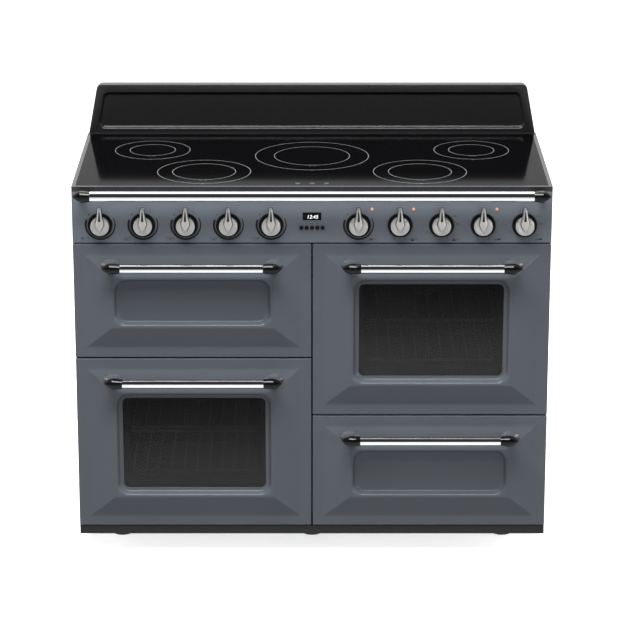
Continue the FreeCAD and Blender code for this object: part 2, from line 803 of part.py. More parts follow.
def cavity(x, z, shaft):
    """A welded enamelled box with a flange round its mouth."""
    outer_x, outer_z = inset(x, -sheet_gauge), inset(z, -sheet_gauge)
    body = rounded(block(outer_x, (frame_face, cavity_rear + sheet_gauge), outer_z), cavity_corner)
    flange_y = (frame_face - sheet_gauge, frame_face)
    flange_x, flange_z = inset(outer_x, -cavity_flange), inset(outer_z, -cavity_flange)
    flange = block(flange_x, flange_y, flange_z)
    hollow = rounded(block(x, (frame_face - 2 * sheet_gauge, cavity_rear), z), cavity_corner)
    box = cut(join(body, flange), hollow)
    if shaft:
        start = (middle(x), cavity_rear - overrun, middle(z))
        box = cut(box, rod("Y", start, sheet_gauge + 2 * overrun, shaft_radius + slack))
    return box


def mouth_seal(x, z):
    """The heat-proof cord round a cavity's mouth."""
    outer_x, outer_z = inset(x, -sheet_gauge - seal_width), inset(z, -sheet_gauge - seal_width)
    y = (door_back + slack, frame_face - sheet_gauge)
    outer = rounded(block(outer_x, y, outer_z), cavity_corner + seal_width)
    hole_x, hole_z = inset(x, -sheet_gauge), inset(z, -sheet_gauge)
    return cut(outer, rounded(block(hole_x, inset(y, -overrun), hole_z), cavity_corner))


def wool_jacket(x, z, shaft):
    """Mineral wool round the top, bottom, sides and rear of a cavity."""
    near = sheet_gauge + slack
    outer_x, outer_z = inset(x, -near - wool_thickness), inset(z, -near - wool_thickness)
    start_y = frame_face + frame_gauge + slack
    outer = block(outer_x, (start_y, cavity_rear + near + wool_thickness), outer_z)
    inner_x, inner_z = inset(x, -near), inset(z, -near)
    jacket = cut(outer, block(inner_x, (start_y - overrun, cavity_rear + near), inner_z))
    if shaft:
        start = (middle(x), cavity_rear, middle(z))
        hole = rod("Y", start, near + wool_thickness + overrun, motor_neck + slack)
        jacket = cut(jacket, hole)
    return jacket


def rung_level(z, number):
    """The level of a rung, with even steps between the lowest and the highest of an oven."""
    step = (span_length(z) - lowest_rung - highest_rung_drop) / (OVEN_RUNGS - 1)
    return z[0] + lowest_rung + number * step


def rack_ladders(x, z, rungs):
    """The wire ladders that hold the shelves on both side walls."""
    ladders = []
    y = (frame_face + rung_margin, cavity_rear - baffle_depth - rung_margin)
    levels = [rung_level(z, i) for i in range(rungs)]
    top = levels[-1] + rung_margin / 2
    for side in (LEFT, RIGHT):
        wall = x[0] if side == LEFT else x[1]
        post_x, rung_x = wall - side * rung_radius, wall - side * rung_offset
        foot = z[0] + rung_margin
        bars = [rod("Z", (post_x, post_y, foot), top - foot, rung_radius) for post_y in y]
        for level in levels:
            rung_y = inset(y, -rung_radius)
            bars.append(rod("Y", (rung_x, rung_y[0], level), span_length(rung_y), rung_radius))
            for post_y in y:
                near, far = sorted((post_x, rung_x), key=place_of)
                stub_radius = rung_radius * STUB_SHARE
                bars.append(rod("X", (near, post_y, level), far - near, stub_radius))
        ladders.append(join(*bars))
    return ladders


def wire_shelf():
    """A welded wire shelf, drawn about the middle plane at the level of its wires."""
    level = as_length(0)
    y = (frame_face + rung_margin, cavity_rear - baffle_depth - rung_margin)
    inner = inset(about(level, cavity_width), rung_offset)
    bars = [rod("Y", (bar_x, y[0], level), span_length(y), rack_radius) for bar_x in inner]
    for bar_y in y:
        bars.append(rod("X", (inner[0], bar_y, level), span_length(inner), rack_radius))
    for i in range(1, RACK_WIRES + 1):
        wire_x = inner[0] + span_length(inner) * i / (RACK_WIRES + 1)
        bars.append(rod("Y", (wire_x, y[0], level), span_length(y), rack_wire_radius))
    return join(*bars)


def shelf_on_rung(form, x, z, rung):
    level = rung_level(z, rung) + rung_radius + rack_radius
    return place(gather(form), middle(x), 0, level)


def fan_baffle(x, z):
    """The cover in front of the fan, with a round grille hole and side slots."""
    baffle_y = (cavity_rear - baffle_depth, cavity_rear)
    cover = shell(about(middle(x), baffle_width), baffle_y, about(middle(z), baffle_width), "back")
    start = (middle(x), baffle_y[0] - overrun, middle(z))
    hole = rod("Y", start, sheet_gauge + 2 * overrun, baffle_hole)
    bar_y, bar_length = (baffle_y[0], baffle_y[0] + sheet_gauge), 2 * baffle_hole + rack_radius
    upright = block(about(middle(x), rack_radius), bar_y, about(middle(z), bar_length))
    level = block(about(middle(x), bar_length), bar_y, about(middle(z), rack_radius))
    return join(cut(cover, hole), upright, level)


def ring_element(x, z):
    """A ring heater round the fan, on two legs to the rear wall."""
    centre_y = cavity_rear - baffle_depth / 2
    ring = hoop((middle(x), centre_y, middle(z)), ring_element_radius, element_radius)
    legs = []
    for side in (LEFT, RIGHT):
        leg_x = middle(x) + side * ring_element_radius
        start = (leg_x, centre_y, middle(z))
        legs.append(rod("Y", start, baffle_depth / 2, element_radius * LEG_SHARE))
    return join(ring, *legs)


def grill_element(x, z):
    """A serpentine heater under the grill's ceiling, on two legs to the rear wall."""
    level = z[1] - grill_element_drop
    bend = grill_element_pitch / 2
    front, rear = inset((frame_face, cavity_rear), grill_element_margin + bend)
    first = middle(x) - bend * (GRILL_BARS - 1)
    pieces = []
    for i in range(GRILL_BARS):
        bar_x = first + i * grill_element_pitch
        ends = i in (0, GRILL_BARS - 1)
        length = (cavity_rear if ends else rear) - front
        pieces.append(rod("Y", (bar_x, front, level), length, element_radius))
        if i < GRILL_BARS - 1:
            at_front = i % 2 == 0
            bend_y, start, end = (front, 180, 360) if at_front else (rear, 0, 180)
            centre = (bar_x + bend, bend_y, level)
            pieces.append(hoop(centre, bend, element_radius, "Z", start, end))
    return join(*pieces)


def oven_lamp(x, z):
    """A lamp behind a lens with a round edge, on the rear wall."""
    beside_baffle = (x[0], middle(x) - baffle_width / 2)
    centre = (middle(beside_baffle), cavity_rear - lamp_depth / 2, z[1] - lamp_drop)
    ring = rod("Y", centre, lamp_depth / 2, lamp_radius)
    dome_start = (centre[0], cavity_rear - lamp_depth, centre[2])
    dome = rod("Y", dome_start, lamp_depth, lamp_radius * DOME_SHARE)
    middle_y = centre[1].value
    dome = rounded(dome, lamp_bead, "X", lambda edge: edge.CenterOfMass.y < middle_y)
    return join(ring, dome)


def fan_motor(x, z):
    """The motor behind the cavity, its neck through the wool to the rear wall."""
    neck_y = cavity_rear + sheet_gauge
    neck_length = slack + wool_thickness + slack
    neck = rod("Y", (middle(x), neck_y, middle(z)), neck_length, motor_neck)
    can_start = (middle(x), neck_y + neck_length, middle(z))
    can = rod("Y", can_start, motor_length, motor_radius)
    bore_start = (middle(x), neck_y - overrun, middle(z))
    bore_length = overrun + neck_length + motor_length - sheet_gauge
    return cut(join(neck, can), rod("Y", bore_start, bore_length, shaft_radius + running_slack))


def fan():
    """A fan with a hub, a back disc, even blades and its shaft, on the middle axis."""
    body = document.addObject("PartDesign::Body", "fan_form")
    back = -(cavity_rear - baffle_depth + sheet_gauge + fan_front_gap + fan_width)
    disc = sketch_circle(body, "XZ_Plane", (as_length(0), as_length(0)), fan_radius, back)
    feature(body, "Pad", disc, Length=blade_gauge)
    hub = sketch_circle(body, "XZ_Plane", (as_length(0), as_length(0)), fan_hub, back)
    feature(body, "Pad", hub, Length=fan_width)
    tail = sheet_gauge + 2 * slack + wool_thickness + motor_length / 2
    shaft_back = -(cavity_rear + tail)
    shaft = sketch_circle(body, "XZ_Plane", (as_length(0), as_length(0)), shaft_radius, shaft_back)
    feature(body, "Pad", shaft, Length=back - shaft_back)
    corners = [
        (fan_hub - blade_gauge, -blade_gauge / 2),
        (fan_radius, -blade_gauge / 2),
        (fan_radius, blade_gauge / 2),
        (fan_hub - blade_gauge, blade_gauge / 2),
    ]
    outline = sketch_outline(body, "XZ_Plane", corners, back)
    blade = feature(body, "Pad", outline, Length=fan_width)
    document.recompute()
    pattern = body.newObject("PartDesign::PolarPattern", "blades")
    pattern.Originals = [blade]
    axis = next(f for f in body.Origin.OriginFeatures if f.Role == "Y_Axis")
    pattern.Axis = (axis, [""])
    pattern.Angle = 360
    pattern.Occurrences = FAN_BLADES
    body.Tip = pattern
    return body


ovens = [CAVITIES["left_oven"], CAVITIES["right_oven"]]
grill = CAVITIES["grill"]
node("oven_cavities", gather(*[cavity(*spans, shaft=True) for spans in ovens]))
node("grill_cavity", cavity(*grill, shaft=False))
node("door_seals", gather(*[mouth_seal(*spans) for spans in (*ovens, grill)]))
jackets = [wool_jacket(*spans, shaft=True) for spans in ovens]
node("cavity_insulation", gather(*jackets, wool_jacket(*grill, shaft=False)))
ladders = [ladder for spans in ovens for ladder in rack_ladders(*spans, rungs=OVEN_RUNGS)]
node("rack_supports", gather(*ladders, *rack_ladders(*grill, rungs=1)))
shelf = wire_shelf()
shelves = [shelf_on_rung(shelf, *spans, rung) for spans in ovens for rung in (0, 2)]
node("oven_racks", gather(*shelves, shelf_on_rung(shelf, *grill, 0)))
node("fan_baffles", gather(*[fan_baffle(*spans) for spans in ovens]))
elements = [ring_element(*spans) for spans in ovens]
node("heating_elements", gather(*elements, grill_element(*grill)))
node("oven_lamps", gather(*[oven_lamp(*spans) for spans in (*ovens, grill)]))
node("fan_motors", gather(*[fan_motor(*spans) for spans in ovens]))
fan_form = fan()
for name in ("left_oven", "right_oven"):
    x, z = CAVITIES[name]
    copy_to(f"{name}_fan", fan_form, middle(x), 0, middle(z))


# Chassis
def front_openings(side):
    """What passes through one side of the front frame, from the bottom up."""
    switch_x = across(side, frame_band, inner_wall - frame_band)
    switches = (switch_x, (fascia_base + frame_band, frame_top - frame_band))
    edge = sheet_gauge + slack
    mouths = {name: (inset(x, -edge), inset(z, -edge)) for name, (x, z) in CAVITIES.items()}
    if side == LEFT:
        return [mouths["left_oven"], mouths["grill"], switches]
    return [(drawer_opening_x, drawer_opening_z), mouths["right_oven"], switches]


def front_bars(side):
    """The flat bars of the front frame round one side's openings, welded edge to edge."""
    y = (frame_face, frame_face + frame_gauge)
    x = across(side, as_length(0), inner_wall)
    bars, level = [], foot_height
    for hole_x, hole_z in front_openings(side):
        bars.append(block(x, y, (level, hole_z[0])))
        bars.append(block((x[0], hole_x[0]), y, hole_z))
        bars.append(block((hole_x[1], x[1]), y, hole_z))
        level = hole_z[1]
    bars.append(block(x, y, (level, frame_top)))
    return bars


heater_top = hob_height - glass_gauge
heater_base = heater_top - heater_height
channel_z = (heater_base - rail_channel_height, heater_base)
frame_top = heater_base - slack


def chassis(tray):
    """Front frame and centre wall on the tray, and the two channels under the heaters."""
    inner_x = (-inner_wall, inner_wall)
    bars = []
    for side in (LEFT, RIGHT):
        lowest, *others = front_bars(side)
        bars += [cut(lowest, tray), *others]
    wall_y = (frame_face + frame_gauge, rear_y - sheet_gauge)
    wall = block(about(as_length(0), frame_gauge), wall_y, (foot_height, channel_z[0]))
    channels = []
    for row_y in (front_row_y, (centre_zone_y + outer_zone_y) / 2):
        channel_y = about(row_y, rail_channel_width)
        bar = block(inner_x, channel_y, channel_z)
        hollow_z = (channel_z[0] - overrun, channel_z[1] - sheet_gauge)
        hollow = block(inset(inner_x, -overrun), inset(channel_y, sheet_gauge), hollow_z)
        channels.append(cut(bar, hollow))
    return gather(*bars, cut(wall, tray), *channels)


def side_panel(side):
    """A side skin with a folded front edge."""
    x = across(side, inner_wall, half_width)
    front = door_back + side_panel_gap
    skin = block(x, (front, rear_y), (foot_height, carcass_top))
    fold_x = across(side, inner_wall - frame_band, inner_wall)
    fold_z = (foot_height + tray_lip, fascia_base)
    fold = block(fold_x, (front, front + sheet_gauge), fold_z)
    return join(skin, fold)


def rear_cover():
    """The back sheet with rows of vents and the cut-out for the supply terminals."""
    body = document.addObject("PartDesign::Body", "rear_sheet")
    low, high = foot_height, carcass_top
    corners = [(-inner_wall, low), (inner_wall, low), (inner_wall, high), (-inner_wall, high)]
    blank = sketch_outline(body, "XZ_Plane", corners, -rear_y)
    feature(body, "Pad", blank, Length=sheet_gauge)
    document.recompute()
    first = -vent_pitch_across * (VENTS_ACROSS - 1) / 2
    (left, right), low, high = about(first, vent_width), vent_base, vent_base + vent_height
    slot_corners = [(left, low), (right, low), (right, high), (left, high)]
    front_face = sheet_gauge - rear_y
    slot = feature(body, "Pocket", sketch_outline(body, "XZ_Plane", slot_corners, front_face))
    slot.Type = "ThroughAll"
    document.recompute()
    spread = body.newObject("PartDesign::MultiTransform", "vents")
    spread.Originals = [slot]
    steps = []
    for role, count, pitch in (
        ("X_Axis", VENTS_ACROSS, vent_pitch_across),
        ("Z_Axis", VENTS_UP, vent_pitch_up),
    ):
        step = body.newObject("PartDesign::LinearPattern", "row")
        axis = next(f for f in body.Origin.OriginFeatures if f.Role == role)
        step.Direction = (axis, [""])
        step.Occurrences = count
        bind(step, Length=pitch * (count - 1))
        steps.append(step)
    spread.Transformations = steps
    body.Tip = spread
    return cut(body, block(terminal_x, inset((rear_y - sheet_gauge, rear_y), -overrun), terminal_z))


terminal_x = about(terminal_x_centre, terminal_width)
terminal_z = (terminal_base, terminal_base + terminal_height)


def terminal_block():
    """The supply terminals' box, set in the rear cover, with its cable hole."""
    y = (rear_y - terminal_depth, rear_y)
    box = shell(terminal_x, y, terminal_z, "front")
    posts = []
    for i in range(TERMINAL_POSTS):
        post_place = terminal_x_centre + (i - (TERMINAL_POSTS - 1) / 2) * terminal_width / 4
        post_x = about(post_place, terminal_width / 8)
        post_y = (y[0] + gland_depth / 2, rear_y - sheet_gauge)
        post_z = (middle(terminal_z) + terminal_height / 8, terminal_z[1] - terminal_height / 8)
        posts.append(block(post_x, post_y, post_z))
    sleeve_level = terminal_z[0] + 2 * gland_radius
    start = (terminal_x_centre, rear_y - gland_depth, sleeve_level)
    sleeve = rod("Y", start, gland_depth, gland_radius + gland_wall)
    bore_start = (terminal_x_centre, rear_y - gland_depth - overrun, sleeve_level)
    bore = rod("Y", bore_start, gland_depth + 2 * overrun, gland_radius)
    return cut(join(box, sleeve, *posts), bore)


def foot(x, y):
    """A pad on a threaded stem."""
    pad = rod("Z", (x, y, 0), foot_pad_height, foot_radius)
    return join(pad, rod("Z", (x, y, 0), foot_height, foot_stem_radius))


floor_x = (-inner_wall, inner_wall)
tray_y = (front_y + plinth_setback + sheet_gauge, rear_y - sheet_gauge)
tray = shell(floor_x, tray_y, (foot_height, foot_height + tray_lip), "top")
node("base_tray", tray)
plinth_y = (front_y + plinth_setback, door_back + side_panel_gap)
plinth_z = (foot_height, foot_height + plinth_height)
plinth_hollow_y = (plinth_y[0] + sheet_gauge, plinth_y[1] + overrun)
plinth = block((-half_width, half_width), plinth_y, plinth_z)
node("plinth_strip", cut(plinth, block(floor_x, plinth_hollow_y, inset(plinth_z, -overrun))))
foot_x = inner_wall - foot_inset
foot_y = (front_y + front_foot_setback, rear_y - rear_foot_setback)
feet = [foot(x, y) for x in (-foot_x, as_length(0), foot_x) for y in foot_y]
node("levelling_feet", gather(*feet))
node("chassis_frame", chassis(tray))
node("side_panels", gather(side_panel(LEFT), side_panel(RIGHT)))
node("rear_cover", rear_cover())
node("terminal_block", terminal_block())

# Hob
hob_x, hob_y = (-half_width, half_width), (front_y, trim_rear)


def hob_trim():
    """The metal frame round the glass, with a ledge under its edge."""
    ring = block(hob_x, hob_y, (carcass_top, hob_height + trim_lip))
    seat_z = (hob_height - glass_gauge, hob_height + trim_lip + overrun)
    seat = block(inset(hob_x, trim_width), inset(hob_y, trim_width), seat_z)
    margin = trim_width + trim_ledge
    hole_z = (carcass_top - overrun, hob_height + trim_lip + overrun)
    hole = block(inset(hob_x, margin), inset(hob_y, margin), hole_z)
    return cut(cut(ring, seat), hole)


def heater(x, y, diameter):
    """A radiant heater: an insulating dish with its rings of ribbon."""
    outer = rod("Z", (x, y, heater_base), heater_height, diameter / 2)
    hollow_start = (x, y, heater_base + heater_floor)
    dish = cut(outer, rod("Z", hollow_start, heater_height, diameter / 2 - heater_wall))
    centre = (x, y, heater_base + heater_floor + ribbon_radius * STUB_SHARE)
    rings = [hoop(centre, diameter * share, ribbon_radius, "Z") for share in RIBBON_SHARES]
    return join(dish, *rings)


node("hob_trim", hob_trim())
glass_z = (hob_height - glass_gauge, hob_height)
node("hob_glass", block(inset(hob_x, trim_width), inset(hob_y, trim_width), glass_z))
heaters = [heater(as_length(0), centre_zone_y, centre_zone)]
for side in (LEFT, RIGHT):
    heaters.append(heater(side * outer_zone_x, outer_zone_y, outer_zone))
    heaters.append(heater(side * front_zone_x, front_row_y, front_zone))
node("radiant_heaters", gather(*heaters))


def backsplash_form(margin, y, corner):
    """The sloping-ended outline of the backsplash, drawn in by a margin."""
    base = carcass_top + margin
    top = hob_height + backsplash_height - margin
    low_x = (margin - half_width, half_width - margin)
    form = upright_taper(low_x, inset(low_x, backsplash_lean), y, (base, top))
    middle_z = (base.value + top.value) / 2
    return rounded(form, corner, "Y", lambda edge: edge.CenterOfMass.z > middle_z)


def backsplash():
    y = (trim_rear, rear_y)
    recess_y = (y[0] - overrun, y[0] + backsplash_recess)
    hollow_y = (y[0] + backsplash_recess + sheet_gauge, y[1] + overrun)
    slab = backsplash_form(as_length(0), y, backsplash_corner)
    sunk = backsplash_form(backsplash_rim, recess_y, backsplash_corner - backsplash_rim / 4)
    low_z = (carcass_top, hob_height + backsplash_rim * LOW_RIM_SHARE)
    sunk = cut(sunk, block(hob_x, inset(recess_y, -overrun), low_z))
    hollow = backsplash_form(backsplash_fold, hollow_y, backsplash_corner - backsplash_fold / 2)
    return cut(slab, sunk, hollow)


node("backsplash", backsplash())


# Fascia, switches, knobs and clock
def fascia():
    """The control panel: a folded sheet open at the rear, its upper flange short, with holes."""
    fascia_y = (front_y, front_y + fascia_depth)
    box = shell(hob_x, fascia_y, (fascia_base, carcass_top), "back")
    short_y = (front_y + fascia_flange, fascia_y[1] + overrun)
    box = cut(box, block(hob_x, short_y, (carcass_top - sheet_gauge, carcass_top)))
    start_y, length = front_y - overrun, sheet_gauge + 2 * overrun
    through = (start_y, start_y + length)
    holes = [rod("Y", (x, start_y, knob_z), length, bezel_bore) for x in KNOB_PLACES.values()]
    for x in button_places():
        holes.append(rod("Y", (x, start_y, button_z), length, button_radius + running_slack))
    for x in lens_places:
        lens_start = (x, start_y, fascia_base + lamp_lens_level)
        holes.append(rod("Y", lens_start, length, lamp_lens_radius))
    window_z = about(fascia_base + display_level, display_height)
    holes.append(block(about(as_length(0), display_width), through, window_z))
    slot_z = about(fascia_base + vent_slot_level, vent_slot_height)
    holes.append(block(about(as_length(0), vent_slot_width), through, slot_z))
    return cut(box, *holes)


button_z = fascia_base + button_level


def button_places():
    return [(i - (CLOCK_BUTTONS - 1) / 2) * button_pitch for i in range(CLOCK_BUTTONS)]


def clock_module():
    """The clock: a case behind the fascia with its display window in the cut-out."""
    face_y = front_y + clock_setback
    base = button_z - button_radius - sheet_gauge
    z = (base, base + clock_tall)
    case = block(about(as_length(0), clock_width), (face_y, face_y + clock_depth), z)
    window_z = about(fascia_base + display_level, display_height)
    window = block(about(as_length(0), display_width), (front_y - slack, face_y), window_z)
    return join(case, window)


def clock_button(label, x):
    """A push button held behind the fascia by its flange."""
    front = front_y - button_proud
    stem = rod("Y", (x, front, button_z), button_proud + sheet_gauge + button_tail, button_radius)
    flange_start = (x, front_y + sheet_gauge, button_z)
    flange = rod("Y", flange_start, button_flange, button_radius + button_flange)
    return node(label, join(stem, flange))


def switch(x):
    """A rotary switch behind the fascia with the bore for its knob's spindle."""
    y = (front_y + sheet_gauge, front_y + sheet_gauge + switch_depth)
    case = block(about(x, switch_width), y, about(knob_z, switch_width))
    start = (x, y[0] - overrun, knob_z)
    length = overrun + spindle_length
    return cut(case, rod("Y", start, length, spindle_radius + running_slack))


def bezel(x):
    """The dark ring behind a knob."""
    ring = rod("Y", (x, front_y - bezel_depth, knob_z), bezel_depth, bezel_radius)
    start = (x, front_y - bezel_depth - overrun, knob_z)
    return cut(ring, rod("Y", start, bezel_depth + 2 * overrun, bezel_bore))


def round_edges(body, radius, wanted):
    """Round the edges of a body that a test picks."""
    document.recompute()
    tip = body.Tip
    names = [f"Edge{n}" for n, edge in enumerate(tip.Shape.Edges, 1) if wanted(edge)]
    fillet = body.newObject("PartDesign::Fillet", "soft_edges")
    fillet.Base = (tip, names)
    return bind(fillet, Radius=radius)


def at_lever_tip(edge):
    near_tip = abs(edge.CenterOfMass.z - lever_tip.value) < lever_tip_width.value / 100
    return near_tip and reaches_along(edge, "Y")


def knob():
    """A turned dial on its spindle, with a tapered lever that has a slot."""
    body = document.addObject("PartDesign::Body", "knob_form")
    behind = -(bezel_depth + slack)
    rim = -(dial_front - dial_edge)
    tail = spindle_length - sheet_gauge
    profile = [
        (0, tail),
        (spindle_radius, tail),
        (spindle_radius, behind),
        (dial_radius, behind),
        (dial_radius, rim),
        (dial_radius - dial_edge, -dial_front),
        (0, -dial_front),
    ]
    outline = sketch_outline(body, "XY_Plane", profile)
    dial = feature(body, "Revolution", outline)
    dial.ReferenceAxis = (outline, ["V_Axis"])
    dial.Angle = 360
    document.recompute()
    right_side = [
        (lever_tail_width / 2, -lever_tail),
        (lever_waist_width / 2, 0),
        (lever_waist_width / 2, lever_waist),
        (lever_tip_width / 2 + dial_edge, lever_tip / 2),
        (lever_tip_width / 2, lever_tip),
    ]
    lever_points = right_side + [(-x, z) for x, z in reversed(right_side)]
    lever = sketch_outline(body, "XZ_Plane", lever_points, dial_front - dial_edge)
    feature(body, "Pad", lever, Length=lever_thickness + dial_edge)
    round_edges(body, lever_tip_width * TIP_ROUND_SHARE, at_lever_tip)
    document.recompute()
    slot_points = [
        (-lever_slot_width / 2, lever_slot_start),
        (lever_slot_width / 2, lever_slot_start),
        (lever_slot_tip_width / 2, lever_slot_end),
        (-lever_slot_tip_width / 2, lever_slot_end),
    ]
    slot = sketch_outline(body, "XZ_Plane", slot_points, dial_front + lever_thickness)
    feature(body, "Pocket", slot, Length=lever_slot_depth)
    return body


node("control_fascia", fascia())
node("clock_module", clock_module())
node("rotary_switches", gather(*[switch(x) for x in KNOB_PLACES.values()]))
node("knob_bezels", gather(*[bezel(x) for x in KNOB_PLACES.values()]))
lenses = []
for x in lens_places:
    lens_start = (x, front_y - lamp_lens_proud, fascia_base + lamp_lens_level)
    lenses.append(rod("Y", lens_start, lamp_lens_length, lamp_lens_radius))
node("indicator_lenses", gather(*lenses))
for number, x in enumerate(button_places(), 1):
    clock_button(f"clock_button_{number}", x)
knob_form = knob()
for label, x in KNOB_PLACES.items():
    copy_to(label, knob_form, x, front_y, knob_z)


def towel_rail():
    """The full-width rail with an egg-shaped bracket at each end."""
    axis_y, axis_z = front_y - rail_standoff, hob_height - rail_drop
    reach = half_width - rail_end_gap - rail_cap_length / 2
    start = (-reach, axis_y, axis_z)
    tube = rod("X", start, 2 * reach, rail_radius)
    brackets = []
    for side in (LEFT, RIGHT):
        cap = capsule((side * reach, axis_y, axis_z), rail_cap_length, rail_cap_radius)
        neck_z = axis_z - rail_neck_drop
        neck = rod("Y", (side * reach, axis_y, neck_z), rail_standoff, rail_neck_radius)
        rosette_start = (side * reach, front_y - rail_rosette_depth, neck_z)
        rosette = rod("Y", rosette_start, rail_rosette_depth, rail_rosette_radius)
        bracket = cut(join(cap, neck, rosette), rod("X", start, 2 * reach, rail_radius))
        brackets.append(bracket)
    return gather(tube, *brackets)


node("towel_rail", towel_rail())

document.recompute()
for item in document.Objects:
    if {"Invalid", "Error"} & set(item.State):
        raise RuntimeError(f"{item.Label} did not build: {item.State}")
for item in NODES:
    if item.Shape.isNull() or not item.Shape.isValid():
        raise RuntimeError(f"{item.Label} has no valid shape")
for item in NODES:
    item.Shape.exportStep(f"parts/{item.Label}.step")
print(len(NODES), "sub-parts,", sum(len(item.Shape.Solids) for item in NODES), "solids")
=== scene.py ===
"""Finishes, pressed skins, knobs, handles and printed marks of an electric range cooker.

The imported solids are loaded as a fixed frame. Each operator below makes one piece or
one group of like pieces over them, and the last one sets up the studio.
"""

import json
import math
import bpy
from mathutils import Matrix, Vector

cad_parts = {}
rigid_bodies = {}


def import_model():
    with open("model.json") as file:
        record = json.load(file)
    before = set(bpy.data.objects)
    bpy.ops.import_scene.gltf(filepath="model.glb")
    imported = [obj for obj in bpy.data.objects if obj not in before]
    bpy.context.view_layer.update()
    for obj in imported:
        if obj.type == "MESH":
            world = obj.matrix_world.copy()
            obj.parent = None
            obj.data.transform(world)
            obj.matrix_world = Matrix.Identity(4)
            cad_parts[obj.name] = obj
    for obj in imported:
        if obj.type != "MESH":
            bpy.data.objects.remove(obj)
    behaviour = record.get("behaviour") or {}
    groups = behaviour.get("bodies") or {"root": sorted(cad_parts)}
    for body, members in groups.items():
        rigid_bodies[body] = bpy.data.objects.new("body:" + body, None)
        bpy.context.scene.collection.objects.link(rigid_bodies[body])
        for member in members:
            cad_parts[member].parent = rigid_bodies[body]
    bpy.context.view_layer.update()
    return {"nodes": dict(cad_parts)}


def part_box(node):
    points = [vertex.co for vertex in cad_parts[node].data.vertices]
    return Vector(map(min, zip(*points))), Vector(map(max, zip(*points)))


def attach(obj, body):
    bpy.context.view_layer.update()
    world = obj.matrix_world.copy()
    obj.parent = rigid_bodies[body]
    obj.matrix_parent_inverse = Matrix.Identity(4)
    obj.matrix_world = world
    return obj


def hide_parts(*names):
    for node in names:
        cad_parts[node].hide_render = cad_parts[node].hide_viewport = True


bl_info = {
    "name": "Electric range cooker",
    "version": (1, 0, 0),
    "blender": (4, 5, 0),
    "location": "3D View > Sidebar > Range cooker",
    "description": "Skins, handles, knobs, marks and finishes of a range cooker",
    "category": "Object",
}

import bmesh
import bpy
from mathutils import Vector

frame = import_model()
MM = 0.001


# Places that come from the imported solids
def low(node):
    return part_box(node)[0]


def high(node):
    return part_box(node)[1]


def middle(node):
    return (low(node) + high(node)) / 2


FRONT_Y = low("left_oven_door_glass").y
RIDGE_Y = low("left_oven_door_panel").y
DOOR_BACK_Y = high("left_oven_door_panel").y
HOB_TOP = high("hob_glass").z
DIAL_RADIUS = 21.5 * MM
KNOB_Z = low("grill_knob").z + DIAL_RADIUS

# Each pressed skin with its body and whether it has a window
SKINS = {
    "left_oven_door_panel": ("left_oven_door", True),
    "right_oven_door_panel": ("right_oven_door", True),
    "grill_door_panel": ("grill_door", False),
    "drawer_front": ("drawer", False),
}
HANDLES = {body + "_handle": body for body, window in SKINS.values()}
ZONE_KNOBS = tuple(place + "_zone_knob" for place in (
    "rear_left", "front_left", "centre", "front_right", "rear_right"))
OVEN_KNOBS = ("left_oven_function_knob", "left_oven_heat_knob",
              "right_oven_function_knob", "right_oven_heat_knob")
FUNCTION_KNOBS, HEAT_KNOBS = OVEN_KNOBS[::2], OVEN_KNOBS[1::2]
KNOBS = (*ZONE_KNOBS, "grill_knob", *OVEN_KNOBS)

# Degrees where a zone's crescent starts and ends
CRESCENT = (158, 388)
CAMERA_PLACE = (0, -6.462, 2.548)
# Degrees below level, focal length and sensor width in millimetres
CAMERA_TILT, CAMERA_LENS, CAMERA_SENSOR = 17.38, 162.5, 36
COOKER_CENTRE, TUBES_CENTRE, BACK_CENTRE = (0, -0.2, 0.5), (0, -0.29, 0.6), (0, 0, 0.7)
# What mirror rays see of the sky on the camera's side
DARK_ROOM = 0.04


def linear(red, green, blue):
    """A screen colour from 0 to 255 as the linear values that shaders use."""
    return tuple(
        part / 12.92 if part <= 0.04045 else ((part + 0.055) / 1.055) ** 2.4
        for part in (red / 255, green / 255, blue / 255)
    )


def colour_property(name, description, red, green, blue):
    return bpy.props.FloatVectorProperty(
        name=name, description=description, subtype="COLOR", size=3, min=0, max=1,
        default=linear(red, green, blue))


def length_property(name, description, millimetres):
    return bpy.props.FloatProperty(
        name=name, description=description, subtype="DISTANCE", unit="LENGTH",
        default=millimetres * MM)


class CookerSizes(bpy.types.PropertyGroup):
    border_side: length_property("Side border", "Flat edge of a door beside its pressing", 27)
    border_end: length_property("End border", "Flat edge of a door above and below it", 25)
    bevel_side: length_property("Side bevel", "Width of the sloping side of the pressing", 60)
    bevel_end: length_property("End bevel", "Width of its sloping top and bottom", 51)
    ridge_flat: length_property("Ridge", "Flat on top of the pressing", 7)
    recess_run: length_property("Recess wall", "Draft of the recess wall", 5)
    recess_corner: length_property("Recess corner", "Corner radius of the recess", 26)
    lip_proud: length_property("Lip rise", "How far the lip stands before the pane", 1.5)
    lip_width: length_property("Lip width", "Width of the lip round a window", 8)
    window_corner: length_property("Window corner", "Corner radius of a window", 12)
    sheet: length_property("Sheet", "Thickness of the enamelled sheet", 1.2)
    handle_radius: length_property("Handle radius", "Radius of a door handle's tube", 10.25)
    rail_radius: length_property("Rail radius", "Radius of the towel rail's tube", 11.5)
    print_height: length_property("Print", "How far printed marks stand proud", 0.06)


